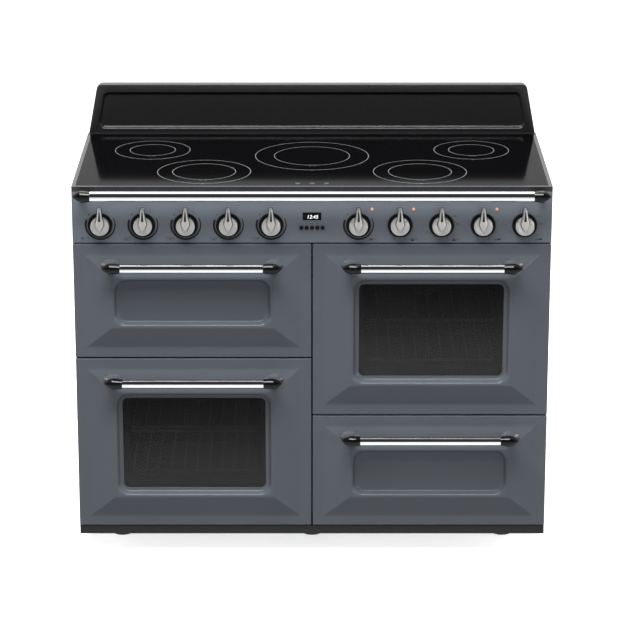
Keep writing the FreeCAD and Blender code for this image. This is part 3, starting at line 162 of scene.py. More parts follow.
class CookerColours(bpy.types.PropertyGroup):
    slate: colour_property("Slate enamel", "Doors, drawer and fascia", 63, 67, 72)
    black: colour_property("Black enamel", "Backsplash and side skins", 23, 23, 24)
    cavity: colour_property("Cavity enamel", "Inside the ovens", 38, 39, 42)
    hob: colour_property("Hob glass", "Ceramic hob", 7, 7, 8)
    chrome: colour_property("Chrome", "Handles and rail", 226, 228, 231)
    knob: colour_property("Knob metal", "Brushed knobs", 205, 204, 202)
    plastic: colour_property("Black plastic", "Switches and terminal box", 15, 15, 16)
    lens: colour_property("Lens", "Indicator lenses", 186, 122, 96)
    marks: colour_property("Printed marks", "Marks on the fascia", 10, 10, 12)
    hob_marks: colour_property("Hob marks", "Rings on the hob", 118, 118, 120)
    digits: colour_property("Clock digits", "Lit digits", 226, 232, 238)


def strength_property(name, description, strength):
    return bpy.props.FloatProperty(name=name, description=description, default=strength)


class CookerStudio(bpy.types.PropertyGroup):
    key_power: strength_property("Key lamp", "Power of the low lamp at the left", 20)
    fill_power: strength_property("Fill lamp", "Power of the low lamp at the right", 46)
    top_power: strength_property("Top lamp", "Power of the lamp overhead", 430)
    front_power: strength_property("Front lamp", "Power of the lamp over the camera", 55)
    side_power: strength_property("Side lamps", "Power that both side lamps share out", 110)
    tube_power: strength_property("Tube lamp", "Power of the high lamp for the tubes", 60)
    low_tube_power: strength_property("Low tube lamp", "Power of its fellow below", 60)
    bracket_power: strength_property("Bracket lamp", "Power of the lamp for the brackets", 60)
    back_power: strength_property("Back lamp", "Power of the long lamp above and behind", 120)
    sky: strength_property("Sky", "Strength of the even light from all round", 0.18)


# Finishes
class Value:
    """A node's socket that can be added, multiplied and so on like a number."""

    def __init__(self, finish, socket):
        self.finish = finish
        self.socket = socket

    def _sum(self, operation, first, second):
        return self.finish.node("ShaderNodeMath", {"operation": operation}, {0: first, 1: second})

    def __add__(self, other):
        return self._sum("ADD", self, other)

    def __radd__(self, other):
        return self._sum("ADD", other, self)

    def __sub__(self, other):
        return self._sum("SUBTRACT", self, other)

    def __rsub__(self, other):
        return self._sum("SUBTRACT", other, self)

    def __mul__(self, other):
        return self._sum("MULTIPLY", self, other)

    def __rmul__(self, other):
        return self._sum("MULTIPLY", other, self)

    def output(self, name):
        """Another output of the same node."""
        return Value(self.finish, self.socket.node.outputs[name])


class Finish:
    """The nodes of a material under construction, or of the sky."""

    def __init__(self, name, owner=None):
        self.owner = owner or bpy.data.materials.new(name)
        self.owner.use_nodes = True
        self.tree = self.owner.node_tree
        self.tree.nodes.clear()

    def node(self, kind, settings=None, values=None, output=0):
        made = self.tree.nodes.new(kind)
        for name, setting in (settings or {}).items():
            setattr(made, name, setting)
        for name, value in (values or {}).items():
            if isinstance(value, Value):
                self.tree.links.new(value.socket, made.inputs[name])
            else:
                made.inputs[name].default_value = value
        return Value(self, made.outputs[output])

    def place(self):
        """Where a point lies on its piece, in metres."""
        return self.node("ShaderNodeTexCoord", output="Object")

    def noise(self, scale, detail=2.0, vector=None, **values):
        values |= {"Vector": vector or self.place(), "Scale": scale, "Detail": detail}
        return self.node("ShaderNodeTexNoise", {}, values, "Fac")

    def stretched(self, x, y, z):
        return self.node("ShaderNodeVectorMath", {"operation": "MULTIPLY"},
                         {0: self.place(), 1: (x, y, z)})

    def length(self, vector):
        return self.node("ShaderNodeVectorMath", {"operation": "LENGTH"}, {0: vector}, "Value")

    def mix(self, factor, first, second):
        """A colour between two, by a factor."""
        ends = {6: self._colour(first), 7: self._colour(second)}
        return self.node("ShaderNodeMix", {"data_type": "RGBA"}, {0: factor, **ends}, 2)

    @staticmethod
    def _colour(value):
        return value if isinstance(value, Value) else (*value, 1)

    def steps(self, factor, low_edge, high_edge):
        """A factor that runs from 0 to 1 between two edges."""
        return self.node("ShaderNodeMapRange", {"interpolation_type": "SMOOTHSTEP"},
                         {"Value": factor, "From Min": low_edge, "From Max": high_edge})

    def bump(self, height, strength, distance):
        return self.node("ShaderNodeBump", {},
                         {"Height": height, "Strength": strength, "Distance": distance})

    def surface(self, **values):
        """Joins the finished surface to the output and returns the material."""
        names = {name.replace("_", " "): value for name, value in values.items()}
        shader = self.node("ShaderNodeBsdfPrincipled", {}, names)
        self.join(shader)
        return self.owner

    def join(self, shader, kind="ShaderNodeOutputMaterial"):
        output = self.tree.nodes.new(kind)
        self.tree.links.new(shader.socket, output.inputs["Surface"])


def tinted(colour, share):
    return tuple(min(part * share, 1) for part in colour)


def enamel(name, colour, gloss=0.34, coat=0.15, specular=0.05, speck=0.0):
    """Fired enamel: cloudy within a few percent, with a slight peel in its gloss."""
    finish = Finish(name)
    cloud = finish.noise(7, 3)
    grain = finish.noise(1400, 1)
    base = finish.mix(cloud * 0.6 + grain * 0.4, tinted(colour, 0.90), tinted(colour, 1.10))
    if speck:
        flecks = finish.steps(finish.noise(520, 0), 0.68, 0.74)
        base = finish.mix(flecks * speck, base, linear(150, 152, 156))
    dust = finish.noise(38, 4)
    peel = finish.bump(finish.noise(90, 1), 0.035, 0.0005)
    return finish.surface(Base_Color=base, Roughness=dust * 0.08 + (gloss - 0.04), Normal=peel,
                          Coat_Weight=coat, Coat_Roughness=0.1, Coat_IOR=1.5,
                          Specular_IOR_Level=specular)


def chrome(name, colour, gloss=0.05):
    """Plated metal with faint wipe marks."""
    finish = Finish(name)
    wipes = finish.noise(60, 3, finish.stretched(0.15, 1, 1))
    base = finish.mix(wipes, tinted(colour, 0.93), colour)
    ripple = finish.bump(finish.noise(30, 1), 0.004, 0.0005)
    return finish.surface(Base_Color=base, Metallic=1.0, Roughness=wipes * 0.05 + gloss,
                          Normal=ripple)


def brushed_knob(name, colour):
    """Turned metal: fine rings round the knob's own axis, with a mottled sheen."""
    finish = Finish(name)
    radius = finish.length(finish.stretched(1, 0, 1))
    rings = finish.node("ShaderNodeTexNoise", {"noise_dimensions": "1D"},
                        {"W": radius * 2600, "Scale": 1.0, "Detail": 2.0}, "Fac")
    mottle = finish.noise(230, 3)
    base = finish.mix(rings * 0.5 + mottle * 0.5, tinted(colour, 0.72), tinted(colour, 1.10))
    return finish.surface(Base_Color=base, Metallic=0.5, Roughness=mottle * 0.2 + 0.28,
                          Normal=finish.bump(rings, 0.25, 0.0001))


def moulded(name, colour, gloss=0.4, grain=0.15, specular=0.5):
    """Moulded plastic with a fine grain."""
    finish = Finish(name)
    leather = finish.noise(900, 2)
    cloud = finish.noise(25, 3)
    base = finish.mix(cloud, tinted(colour, 0.8), tinted(colour, 1.2))
    return finish.surface(Base_Color=base, Roughness=leather * 0.12 + (gloss - 0.06),
                          Normal=finish.bump(leather, grain, 0.0002),
                          Specular_IOR_Level=specular)


def galvanised(name, base=(0.42, 0.43, 0.45), gloss=0.38):
    """Zinc coated sheet with its spangle and a few dull patches."""
    finish = Finish(name)
    spangle = finish.node("ShaderNodeTexVoronoi", {}, {"Vector": finish.place(), "Scale": 90.0},
                          "Distance")
    patches = finish.noise(6, 4)
    base = finish.mix(spangle * 0.7 + patches * 0.3, tinted(base, 0.8), tinted(base, 1.25))
    return finish.surface(Base_Color=base, Metallic=0.6, Roughness=patches * 0.25 + gloss - 0.1,
                          Normal=finish.bump(spangle, 0.05, 0.0003))


def heater_sheath(name):
    """Heater tube, dull brown where it glows."""
    finish = Finish(name)
    scale = finish.noise(180, 4)
    heat = finish.noise(14, 2)
    base = finish.mix(scale * 0.5 + heat * 0.5, linear(70, 62, 58), linear(118, 112, 108))
    return finish.surface(Base_Color=base, Metallic=0.6, Roughness=scale * 0.2 + 0.42,
                          Normal=finish.bump(scale, 0.2, 0.0003))


def wool(name):
    """Mineral wool: matted fibres with tufts and hollows."""
    finish = Finish(name)
    fibres = finish.noise(420, 6, finish.stretched(0.25, 1, 1), Distortion=2.5)
    tufts = finish.noise(38, 4)
    base = finish.mix(fibres * 0.6 + tufts * 0.4, linear(112, 104, 82), linear(196, 186, 156))
    return finish.surface(Base_Color=base, Roughness=0.95,
                          Normal=finish.bump(fibres + tufts, 0.9, 0.003))


def braid(name):
    """Woven glass seal over its rubber core."""
    finish = Finish(name)
    strands = finish.node("ShaderNodeTexWave", {"bands_direction": "DIAGONAL"},
                          {"Vector": finish.place(), "Scale": 160.0, "Distortion": 1.5}, "Fac")
    base = finish.mix(strands, linear(36, 36, 37), linear(78, 78, 80))
    return finish.surface(Base_Color=base, Roughness=0.8,
                          Normal=finish.bump(strands, 0.6, 0.0006))


def ceramic(name, colour):
    """Black hob glass, faintly streaked where it has been wiped."""
    finish = Finish(name)
    streaks = finish.noise(9, 4, finish.stretched(0.2, 1, 1))
    specks = finish.noise(1100, 0)
    base = finish.mix(finish.steps(specks, 0.7, 0.78) * 0.25, colour, linear(46, 46, 49))
    return finish.surface(Base_Color=base, Roughness=streaks * 0.05 + 0.06,
                          Specular_IOR_Level=0.02,
                          Normal=finish.bump(finish.noise(16, 1), 0.01, 0.001))


def tinted_glass(name):
    """Dark door glass, lighter towards its lower edge: a painted reflection of the floor."""
    finish = Finish(name)
    haze = finish.noise(11, 4)
    whole = finish.node("ShaderNodeTexCoord", output="Generated")
    height = finish.node("ShaderNodeSeparateXYZ", {}, {"Vector": whole}, "Z")
    base = finish.mix(haze, linear(10, 10, 11), linear(22, 22, 24))
    # Painted reflection: the pane turns lighter grey towards its lower edge, where the floor would
    # show in it.
    base = finish.mix(finish.steps(height, 0.95, 0.0), base, linear(44, 44, 44))
    return finish.surface(Base_Color=base, Roughness=haze * 0.04 + 0.04,
                          Alpha=haze * 0.10 + 0.42, Specular_IOR_Level=0.1)


def smooth(name, scale, colours, gloss, span=0.1, detail=2, specular=0.5, glow=0.0, relief=0.0):
    """Glass, lens or print: one fine noise tints it, dulls it and can raise and light it."""
    finish = Finish(name)
    grain = finish.noise(scale, detail)
    base = finish.mix(grain, *colours)
    values = {"Base_Color": base, "Roughness": grain * span + gloss,
              "Specular_IOR_Level": specular}
    if glow:
        values |= {"Emission_Color": base, "Emission_Strength": glow}
    if relief:
        values["Normal"] = finish.bump(grain, relief, 0.0003)
    return finish.surface(**values)


def display(name):
    """Glossy black window over the clock."""
    return smooth(name, 120, (linear(6, 6, 7), linear(14, 14, 16)), 0.07, 0.05, specular=0.06)


def lens(name, colour, glow):
    """Moulded lens with a fluted inside and a little of its own light."""
    return smooth(name, 1500, (tinted(colour, 0.7), tinted(colour, 1.25)), 0.18, detail=1,
                  glow=glow, relief=0.3)


def ink(name, colour, glow=0.0, gloss=0.5):
    """Fired or screened print, very slightly uneven."""
    return smooth(name, 800, (tinted(colour, 0.85), tinted(colour, 1.1)), gloss - 0.05,
                  specular=0.15, glow=glow)


def recipe(maker, colour=None, share=1.0, **values):
    """How a finish is made. The colour is a setting's name or a screen colour."""
    return maker, colour, share, values


RECIPES = {
    "slate_enamel": recipe(enamel, "slate"),
    # A lighter copy of the slate enamel: painted light on the fascia, which is the same enamel as
    # the doors, to make up for the shade under the rail.
    "fascia_enamel": recipe(enamel, "slate", 1.5),
    "black_enamel": recipe(enamel, "black", gloss=0.2, specular=0.2, coat=0.25),
    "dark_enamel": recipe(enamel, "cavity", gloss=0.3, speck=0.25),
    "frame_enamel": recipe(enamel, (30, 31, 33), gloss=0.4, coat=0.3, speck=0.3),
    "side_enamel": recipe(enamel, "black", coat=0.25, specular=0.15),
    "chrome_tube": recipe(chrome, "chrome"),
    "knob_metal": recipe(brushed_knob, "knob", 0.55),
    "black_plastic": recipe(moulded, "plastic", gloss=0.3, specular=0.3),
    "bracket_black": recipe(moulded, (9, 9, 10), gloss=0.08, grain=0.02, specular=0.2),
    "bracket_foot": recipe(moulded, (58, 60, 64), gloss=0.3, grain=0.02),
    "bezel_black": recipe(moulded, (10, 10, 11), gloss=0.3, specular=0.1),
    "button_plastic": recipe(moulded, (12, 12, 14), gloss=0.35, specular=0.08),
    "ceramic_glass": recipe(ceramic, "hob", 0.6),
    "door_glass": recipe(tinted_glass),
    "display_glass": recipe(display),
    "orange_lens": recipe(lens, "lens", glow=0.15),
    "lamp_lens": recipe(lens, (206, 204, 192), glow=0.05),
    "zinc_steel": recipe(galvanised),
    "hob_trim_metal": recipe(enamel, (30, 31, 33), gloss=0.25, specular=0.4),
    "shelf_wire": recipe(chrome, (205, 206, 208), gloss=0.34),
    "heater_tube": recipe(heater_sheath),
    "heater_dish": recipe(moulded, (150, 142, 130), gloss=0.8, grain=0.6),
    "mineral_wool": recipe(wool),
    "seal_rubber": recipe(braid),
    "motor_steel": recipe(galvanised, base=(0.30, 0.31, 0.33), gloss=0.45),
    "plinth_metal": recipe(enamel, (17, 17, 16), gloss=0.45, coat=0.0, specular=0.25),
    "foot_plastic": recipe(moulded, (30, 30, 31), gloss=0.5, grain=0.3),
    "fascia_print": recipe(ink, "marks", gloss=0.7),
    "hob_print": recipe(ink, "hob_marks", gloss=0.35),
    "digit_light": recipe(ink, "digits", glow=0.8),
    # Black for the lever's slot insert and for the painted shadow line round each lever.
    "slot_black": recipe(moulded, (7, 7, 8), gloss=0.6, specular=0.2),
}
FINISHES = {}


def finish_called(name):
    """The finish for a material slot of the record, made when it is first asked for."""
    if name not in FINISHES:
        maker, colour, share, values = RECIPES[name]
        if isinstance(colour, str):
            colour = getattr(bpy.context.scene.cooker_colours, colour)
        elif colour:
            colour = linear(*colour)
        colours = [tinted(colour, share)] if colour else []
        FINISHES[name] = maker(name, *colours, **values)
    return FINISHES[name]


def dress(*nodes):
    """Gives carried-over solids the finishes that their slots name."""
    for name in nodes:
        item = frame["nodes"][name]
        for slot in item.material_slots:
            slot.material = finish_called(slot.material.name.split(".")[0])


# Forms
def between(first, second, share):
    return tuple(a + (b - a) * share for a, b in zip(first, second))


def softened(stations, reaches, steps=4):
    """A run of stations whose inner corners are rounded over the given reaches."""
    run = [stations[0]]
    for before, here, after, reach in zip(stations, stations[1:], stations[2:], reaches):
        start = between(here, before, min(reach / math.dist(here[:3], before[:3]), 0.48))
        end = between(here, after, min(reach / math.dist(here[:3], after[:3]), 0.48))
        for step in range(steps + 1):
            share = step / steps
            run.append(between(between(start, here, share), between(here, end, share), share))
    run.append(stations[-1])
    return run


def outline(corners, radii, stops, steps=6):
    """Points round a convex outline with round corners; stops place points on each side."""
    count = len(corners)
    arcs = []
    for index, (corner, radius) in enumerate(zip(corners, radii)):
        corner = Vector(corner)
        back = (Vector(corners[index - 1]) - corner).normalized()
        ahead = (Vector(corners[(index + 1) % count]) - corner).normalized()
        half = back.angle(ahead) / 2
        reach = radius / math.tan(half)
        centre = corner + (back + ahead).normalized() * (radius / math.sin(half))
        start, end = corner + back * reach - centre, corner + ahead * reach - centre
        sweep = start.angle_signed(end)
        arcs.append([centre + turned(start, -sweep * step / steps) for step in range(steps + 1)])
    points = []
    for index, arc in enumerate(arcs):
        points += arc
        following = arcs[(index + 1) % count][0]
        points += [arc[-1].lerp(following, stop) for stop in stops[index]]
    return points


def turned(vector, angle):
    cosine, sine = math.cos(angle), math.sin(angle)
    return Vector((vector.x * cosine - vector.y * sine, vector.x * sine + vector.y * cosine))


def rectangle(x, z):
    return ((x[0], z[0]), (x[1], z[0]), (x[1], z[1]), (x[0], z[1]))


def add_rings(mesh, rings, first_cap=False, last_cap=False, skip=None, loop=False):
    """Quads between rings of equal count, with flat caps where they are asked for."""
    rows = [[mesh.verts.new(point) for point in ring] for ring in rings]
    count = len(rows[0])
    for number, (row, following) in enumerate(zip(rows, rows[1:] + rows[:1] * loop)):
        for step in range(count):
            if skip and skip(number, row[step].co, row[(step + 1) % count].co):
                continue
            after = (step + 1) % count
            mesh.faces.new((row[step], row[after], following[after], following[step]))
    if first_cap:
        mesh.faces.new(rows[0][::-1])
    if last_cap:
        mesh.faces.new(rows[-1])


def add_solid(mesh, rings):
    add_rings(mesh, rings, first_cap=True, last_cap=True)


def lathe(mesh, axis, centre, profile, steps=48, loop=False):
    """Turns a profile of (along, radius) pairs about the X or Y axis through a centre."""
    centre = Vector(centre)
    along_way, side = {"X": (Vector((1, 0, 0)), Vector((0, 1, 0))),
                       "Y": (Vector((0, 1, 0)), Vector((0, 0, 1)))}[axis]
    other = along_way.cross(side)
    rings = []
    for along, radius in profile:
        hub = centre + along_way * along
        rings.append([hub + (side * math.cos(turn) + other * math.sin(turn)) * radius
                      for turn in (math.tau * step / steps for step in range(steps))])
    add_rings(mesh, rings, first_cap=not loop, last_cap=not loop, loop=loop)


def ovals(mesh, x, z, sections, steps=48):
    """A stack of ovals that face forward, each a (y, half width, half height)."""
    turns = [math.tau * step / steps for step in range(steps)]
    add_solid(mesh, [[(x + wide * math.cos(turn), y, z + tall * math.sin(turn)) for turn in turns]
                     for y, wide, tall in sections])


def print_height():
    return bpy.context.scene.cooker_sizes.print_height


def slab(mesh, x, z, place):
    """A thin printed plate. place turns a flat point and a height into a point in space."""
    add_solid(mesh, [[place(across * MM, up * MM, height) for across, up in rectangle(x, z)]
                     for height in (0, print_height())])


def band(mesh, radius, inner, start, end, place, steps):
    """A band printed along an arc. inner is its inner radius, or gives it for each share."""
    closed = abs(end - start) >= 360
    lift = print_height()
    rings = []
    for step in range(steps if closed else steps + 1):
        share = step / steps
        turn = math.radians(start + (end - start) * share)
        reach = inner(share) if callable(inner) else inner
        section = ((reach, 0), (radius, 0), (radius, lift), (reach, lift))
        rings.append([place(size * math.cos(turn), size * math.sin(turn), height)
                      for size, height in section])
    add_rings(mesh, rings, first_cap=not closed, last_cap=not closed, loop=closed)


def dot(mesh, x, z, size, place, steps, hole=0.05):
    """A printed dot, or a small ring round a wider hole, in millimetres."""
    band(mesh, size * MM, hole * MM, 0, 360,
         lambda across, up, height: place(across + x * MM, up + z * MM, height), steps)


def placed(name, data, location=(0, 0, 0)):
    """A new object in the scene."""
    item = bpy.data.objects.new(name, data)
    item.location = location
    bpy.context.scene.collection.objects.link(item)
    return item


def make_piece(name, mesh, body, finish, replaced=(), sharp=32, origin=(0, 0, 0)):
    """Turns a finished mesh into a piece that rides on its body."""
    bmesh.ops.recalc_face_normals(mesh, faces=mesh.faces)
    data = bpy.data.meshes.new(name)
    mesh.to_mesh(data)
    mesh.free()
    for face in data.polygons:
        face.use_smooth = True
    data.set_sharp_from_angle(angle=math.radians(sharp))
    data.materials.append(finish_called(finish))
    item = placed(name, data, origin)
    bpy.context.view_layer.update()
    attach(item, body)
    if replaced:
        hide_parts(*replaced)
    return item


def make_skin(node, body, window):
    """The enamelled pressing of one door or of the drawer front."""
    sizes = bpy.context.scene.cooker_sizes
    lowest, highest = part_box(node)
    side, end = sizes.border_side, sizes.border_end
    ridge_side, ridge_end = side + sizes.bevel_side, end + sizes.bevel_end
    wall_side, wall_end = ridge_side + sizes.ridge_flat, ridge_end + sizes.ridge_flat
    floor_side, floor_end = wall_side + sizes.recess_run, wall_end + sizes.recess_run
    lip_y = FRONT_Y - sizes.lip_proud
    edge = 2 * MM
    stations = [
        (0, 0, DOOR_BACK_Y, edge),
        (0, 0, FRONT_Y, edge),
        (side, end, FRONT_Y, edge),
        (ridge_side, ridge_end, RIDGE_Y, 3 * MM),
        (wall_side, wall_end, RIDGE_Y, sizes.recess_corner),
        (floor_side, floor_end, lip_y, sizes.recess_corner),
    ]
    reaches = [2.4 * MM, 7 * MM, 3 * MM, 6 * MM, 5 * MM]
    if window:
        lip_side, lip_end = floor_side + sizes.lip_width, floor_end + sizes.lip_width
        stations += [(lip_side, lip_end, lip_y, sizes.window_corner),
                     (lip_side, lip_end, FRONT_Y - 0.2 * MM, sizes.window_corner)]
        reaches += [0.8 * MM]
    else:
        centre_run, centre_corner = 12 * MM, 18 * MM
        stations += [(floor_side + centre_run, floor_end + centre_run, lip_y, centre_corner)]
    notches = hinge_notches(node) if node != "drawer_front" else []
    width = highest.x - lowest.x - 2 * edge
    stops = [share / 12 for share in range(1, 12)]
    bottom = sorted({*stops, *((x - lowest.x - edge) / width for pair in notches for x in pair)})
    rings = []
    for inset_side, inset_end, y, radius in softened(stations, reaches):
        shape = rectangle((lowest.x + inset_side, highest.x - inset_side),
                          (lowest.z + inset_end, highest.z - inset_end))
        points = outline(shape, [radius] * 4, [bottom, stops, stops, stops])
        rings.append([(x, y, z) for x, z in points])

    def in_notch(number, here, after):
        at_bottom = here.z - lowest.z < 0.1 * MM and after.z - lowest.z < 0.1 * MM
        inside = any(near - 0.01 * MM < (here.x + after.x) / 2 < far + 0.01 * MM
                     for near, far in notches)
        return number == 0 and at_bottom and inside

    mesh = bmesh.new()
    add_rings(mesh, rings, last_cap=not window, skip=in_notch)
    piece = make_piece(node + "_skin", mesh, body, "slate_enamel", [node], sharp=60)
    folded = piece.modifiers.new("sheet", "SOLIDIFY")
    folded.thickness = sizes.sheet
    folded.offset = -1
    piece.modifiers.new("flat faces", "WEIGHTED_NORMAL").keep_sharp = True


def hinge_notches(node):
    """The two slots in a door's lower fold that clear its hinge arms."""
    lowest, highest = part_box(node)
    inset, half = 20 * MM, 4 * MM
    places = (lowest.x + inset, highest.x - inset)
    return [(place - half, place + half) for place in places]


class COOKER_OT_door_skins(bpy.types.Operator):
    """Makes the pressed skins of the three doors and the drawer"""
    bl_idname = "cooker.door_skins"
    bl_label = "Door skins"

    def execute(self, context):
        for node, (body, window) in SKINS.items():
            make_skin(node, body, window)
        dress("left_oven_door_glass", "right_oven_door_glass", "left_oven_door_liner",
              "right_oven_door_liner", "grill_door_liner", "drawer_box")
        return {"FINISHED"}


def olive(length, radius, tube_radius, steps=16):
    """Profile of a bracket from its pointed outer tip to the blunt end round the tube."""
    profile = []
    for step in range(steps + 1):
        along = math.sin(math.pi / 2 * step / steps) - 1
        profile.append((along * length / 2, max((1 - (-along) ** 1.7) ** 0.85, 0.002) * radius))
    for step in range(1, steps + 1):
        along = step / steps
        swell = radius - (radius - tube_radius - 0.2 * MM) * along ** 2
        profile.append((along * length * 0.46, swell))
    return profile + [(length * 0.48, tube_radius + 0.1 * MM), (length * 0.48, tube_radius * 0.8)]


def tube_profile(reach, radius):
    edge = 1 * MM
    stops = [-reach + edge + 2 * (reach - edge) * share / 24 for share in range(25)]
    return [(-reach, radius - edge), *((stop, radius) for stop in stops), (reach, radius - edge)]


def make_bar(name, body, centre, reach, radius, cap, foot, drop=0.0, outset=0.0):
    """A chrome tube between two olive-shaped brackets, each on its own foot."""
    mesh = bmesh.new()
    lathe(mesh, "X", centre, tube_profile(reach, radius), 64)
    make_piece(name + "_tube", mesh, body, "chrome_tube", [name])
    length, cap_radius = cap
    foot = [(y, wide * MM, tall * MM) for y, wide, tall in foot]
    for side, way in (("left", -1), ("right", 1)):
        hub = Vector(centre) + Vector((way * reach, 0, 0))
        mesh = bmesh.new()
        profile = [(-way * along, size) for along, size in olive(length, cap_radius, radius)]
        lathe(mesh, "X", hub, profile)
        make_piece(name + "_bracket_" + side, mesh, body, "bracket_black", sharp=50)
        mesh = bmesh.new()
        ovals(mesh, hub.x + way * outset, hub.z - drop, foot)
        make_piece(name + "_foot_" + side, mesh, body,
                   "bracket_black" if drop else "bracket_foot", sharp=50)


class COOKER_OT_handles(bpy.types.Operator):
    """Makes the four door and drawer handles"""
    bl_idname = "cooker.handles"
    bl_label = "Handles"

    def execute(self, context):
        sizes = context.scene.cooker_sizes
        for node, body in HANDLES.items():
            cap_radius, plate, outset = 12.5 * MM, 21.5 * MM, 3 * MM
            axis_y = low(node).y + cap_radius
            centre = (middle(node).x, axis_y, middle(node).z)
            reach = (high(node).x - low(node).x) / 2 - plate - outset
            foot = [(axis_y, 9, 7), (FRONT_Y - 30 * MM, 9.5, 7), (FRONT_Y - 21 * MM, 12, 7.8),
                    (FRONT_Y - 16 * MM, 17.5, 9), (FRONT_Y - 14.4 * MM, 20.6, 9.8),
                    (FRONT_Y - 13 * MM, 21.5, 10.3), (FRONT_Y - 2 * MM, 21.5, 10.3)]
            make_bar(node, body, centre, reach, sizes.handle_radius, (44 * MM, cap_radius), foot,
                     outset=outset)
        return {"FINISHED"}


class COOKER_OT_towel_rail(bpy.types.Operator):
    """Makes the rail along the front of the hob"""
    bl_idname = "cooker.towel_rail"
    bl_label = "Towel rail"

    def execute(self, context):
        sizes = context.scene.cooker_sizes
        node = "towel_rail"
        cap_radius, cap_length = 13.5 * MM, 41 * MM
        axis_y = low(node).y + cap_radius
        axis_z = high(node).z - cap_radius
        reach = high(node).x - cap_length / 2
        foot = [(axis_y, 7, 6), (FRONT_Y - 12 * MM, 7, 6), (FRONT_Y - 5 * MM, 8, 7),
                (FRONT_Y - 3 * MM, 9.4, 8.4), (FRONT_Y, 10, 9)]
        make_bar(node, "carcass", (0, axis_y, axis_z), reach, sizes.rail_radius,
                 (cap_length, cap_radius), foot, drop=8.5 * MM)
        return {"FINISHED"}


def even_points(points, count):
    """The same run with a given number of points at equal distances."""
    lengths = [0]
    for here, after in zip(points, points[1:]):
        lengths.append(lengths[-1] + math.dist(here, after))
    result, index = [], 0
    for step in range(count):
        want = lengths[-1] * step / (count - 1)
        while index < len(points) - 2 and lengths[index + 1] < want:
            index += 1
        part = (want - lengths[index]) / (lengths[index + 1] - lengths[index])
        result.append(between(points[index], points[index + 1], part))
    return result


def both_halves(half):
    """A closed outline from its right half, which starts and ends on the axis."""
    return half + [(-x, z) for x, z in half[-2:0:-1]]


def lever_half():
    """Right half of the lever's outline, from its tip down to its tail, in metres."""
    tip = [(3.9 * math.sin(math.radians(turn)), 41.1 + 3.9 * math.cos(math.radians(turn)))
           for turn in range(0, 91, 15)]
    side = [(4.6, 34), (5.4, 27), (6.3, 20), (7.6, 15), (8.8, 10.5), (9.2, 7.5), (8.9, 4.5)]
    tail = [(7.7, 1), (5.9, -2.6), (3.9, -5.9), (2.0, -8.2), (0.9, -8.9), (0, -9)]
    return [(x * MM, z * MM) for x, z in tip + side + tail]


def slot_half():
    tip = [(0, 37.6), (0.5, 37.3), (0.9, 36)]
    side = [(1.3, 32), (1.9, 25), (2.5, 18), (2.6, 15.4)]
    return [(x * MM, z * MM) for x, z in tip + side + [(2.2, 14.4), (1.1, 14), (0, 14)]]


def make_knob(node):
    """A turned dial with a raised lever that has a black slot."""
    origin = (middle(node).x, 0, KNOB_Z)
    back, rear, face, top = (value * MM for value in (-220.5, -247.3, -258.6, -267))
    mesh = bmesh.new()
    profile = [(back, 2.6), (back - 0.4 * MM, 3), (rear, 3), (rear, 20.7), (rear - 0.6 * MM, 21.5),
               (face + 1.5 * MM, 21.5), (face + 0.5 * MM, 21.2), (face, 20.5), (face, 18.9),
               (face + 0.6 * MM, 18.3), (face + 0.6 * MM, 17.5), (face + 0.1 * MM, 16.9),
               (face + 0.2 * MM, 12), (face + 0.3 * MM, 6), (face + 0.3 * MM, 0.5)]
    lathe(mesh, "Y", (0, 0, 0), [(along, size * MM) for along, size in profile], 72)
    count = 46
    shape = both_halves(even_points(lever_half(), count))
    slot = both_halves(even_points(slot_half(), count))

    def ring(points, shrink, y):
        flat = []
        for x, z in points:
            away = Vector((x, z)) - Vector((0, min(max(z, 2 * MM), 38 * MM)))
            move = away.normalized() * shrink if away.length else away
            flat.append((x - move.x, y, z - move.y))
        return flat

    rings = [ring(shape, -0.6 * MM, face + 1 * MM), ring(shape, -0.6 * MM, face),
             ring(shape, 0, face - 0.8 * MM), ring(shape, 0, top + 1.6 * MM),
             ring(shape, 0.5 * MM, top + 0.5 * MM), ring(shape, 1.3 * MM, top),
             ring(slot, -0.5 * MM, top), ring(slot, 0, top + 0.5 * MM),
             ring(slot, 0, top + 3 * MM)]
    add_solid(mesh, rings)
    make_piece(node + "_dial", mesh, node, "knob_metal", [node], sharp=40, origin=origin)
    # One piece holds the black insert in the lever's slot and a painted shadow line round the
    # lever's base.
    mesh = bmesh.new()
    add_solid(mesh, [ring(slot, -0.2 * MM, top + 3.4 * MM), ring(slot, -0.15 * MM, top + 1.1 * MM),
                     ring(slot, 0.3 * MM, top + 1.0 * MM)])
    # A black band just proud of the dial's face round the lever's outline: a painted shadow line
    # where the lever meets the dial.
    shadow_line_y = face - 0.1 * MM
    add_solid(mesh, [ring(shape, -1.5 * MM, face + 0.6 * MM), ring(shape, -1.5 * MM, shadow_line_y),
                     ring(shape, -0.7 * MM, shadow_line_y)])
    make_piece(node + "_slot", mesh, node, "slot_black", sharp=40, origin=origin)


class COOKER_OT_knobs(bpy.types.Operator):
    """Makes the ten lever knobs"""
    bl_idname = "cooker.knobs"
    bl_label = "Knobs"

    def execute(self, context):
        mesh = bmesh.new()
        profile = [(0, 28.5), (-3.8, 28.5), (-5.4, 27.6), (-6, 26), (-6, 23.4), (-5.2, 22.6),
                   (-2.4, 22.2), (-1.5, 21), (-1.5, 3.8), (0, 3.8)]
        for node in KNOBS:
            make_knob(node)
            lathe(mesh, "Y", (middle(node).x, FRONT_Y, KNOB_Z),
                  [(along * MM, size * MM) for along, size in profile], 72, loop=True)
        make_piece("knob_bezel_rings", mesh, "carcass", "bezel_black", ["knob_bezels"], sharp=40)
        dress("indicator_lenses")
        return {"FINISHED"}


def on_fascia(centre_x, centre_z):
    """Places a flat point of a mark on the fascia's face."""
    return lambda x, z, height: (centre_x + x, FRONT_Y - height, centre_z + z)


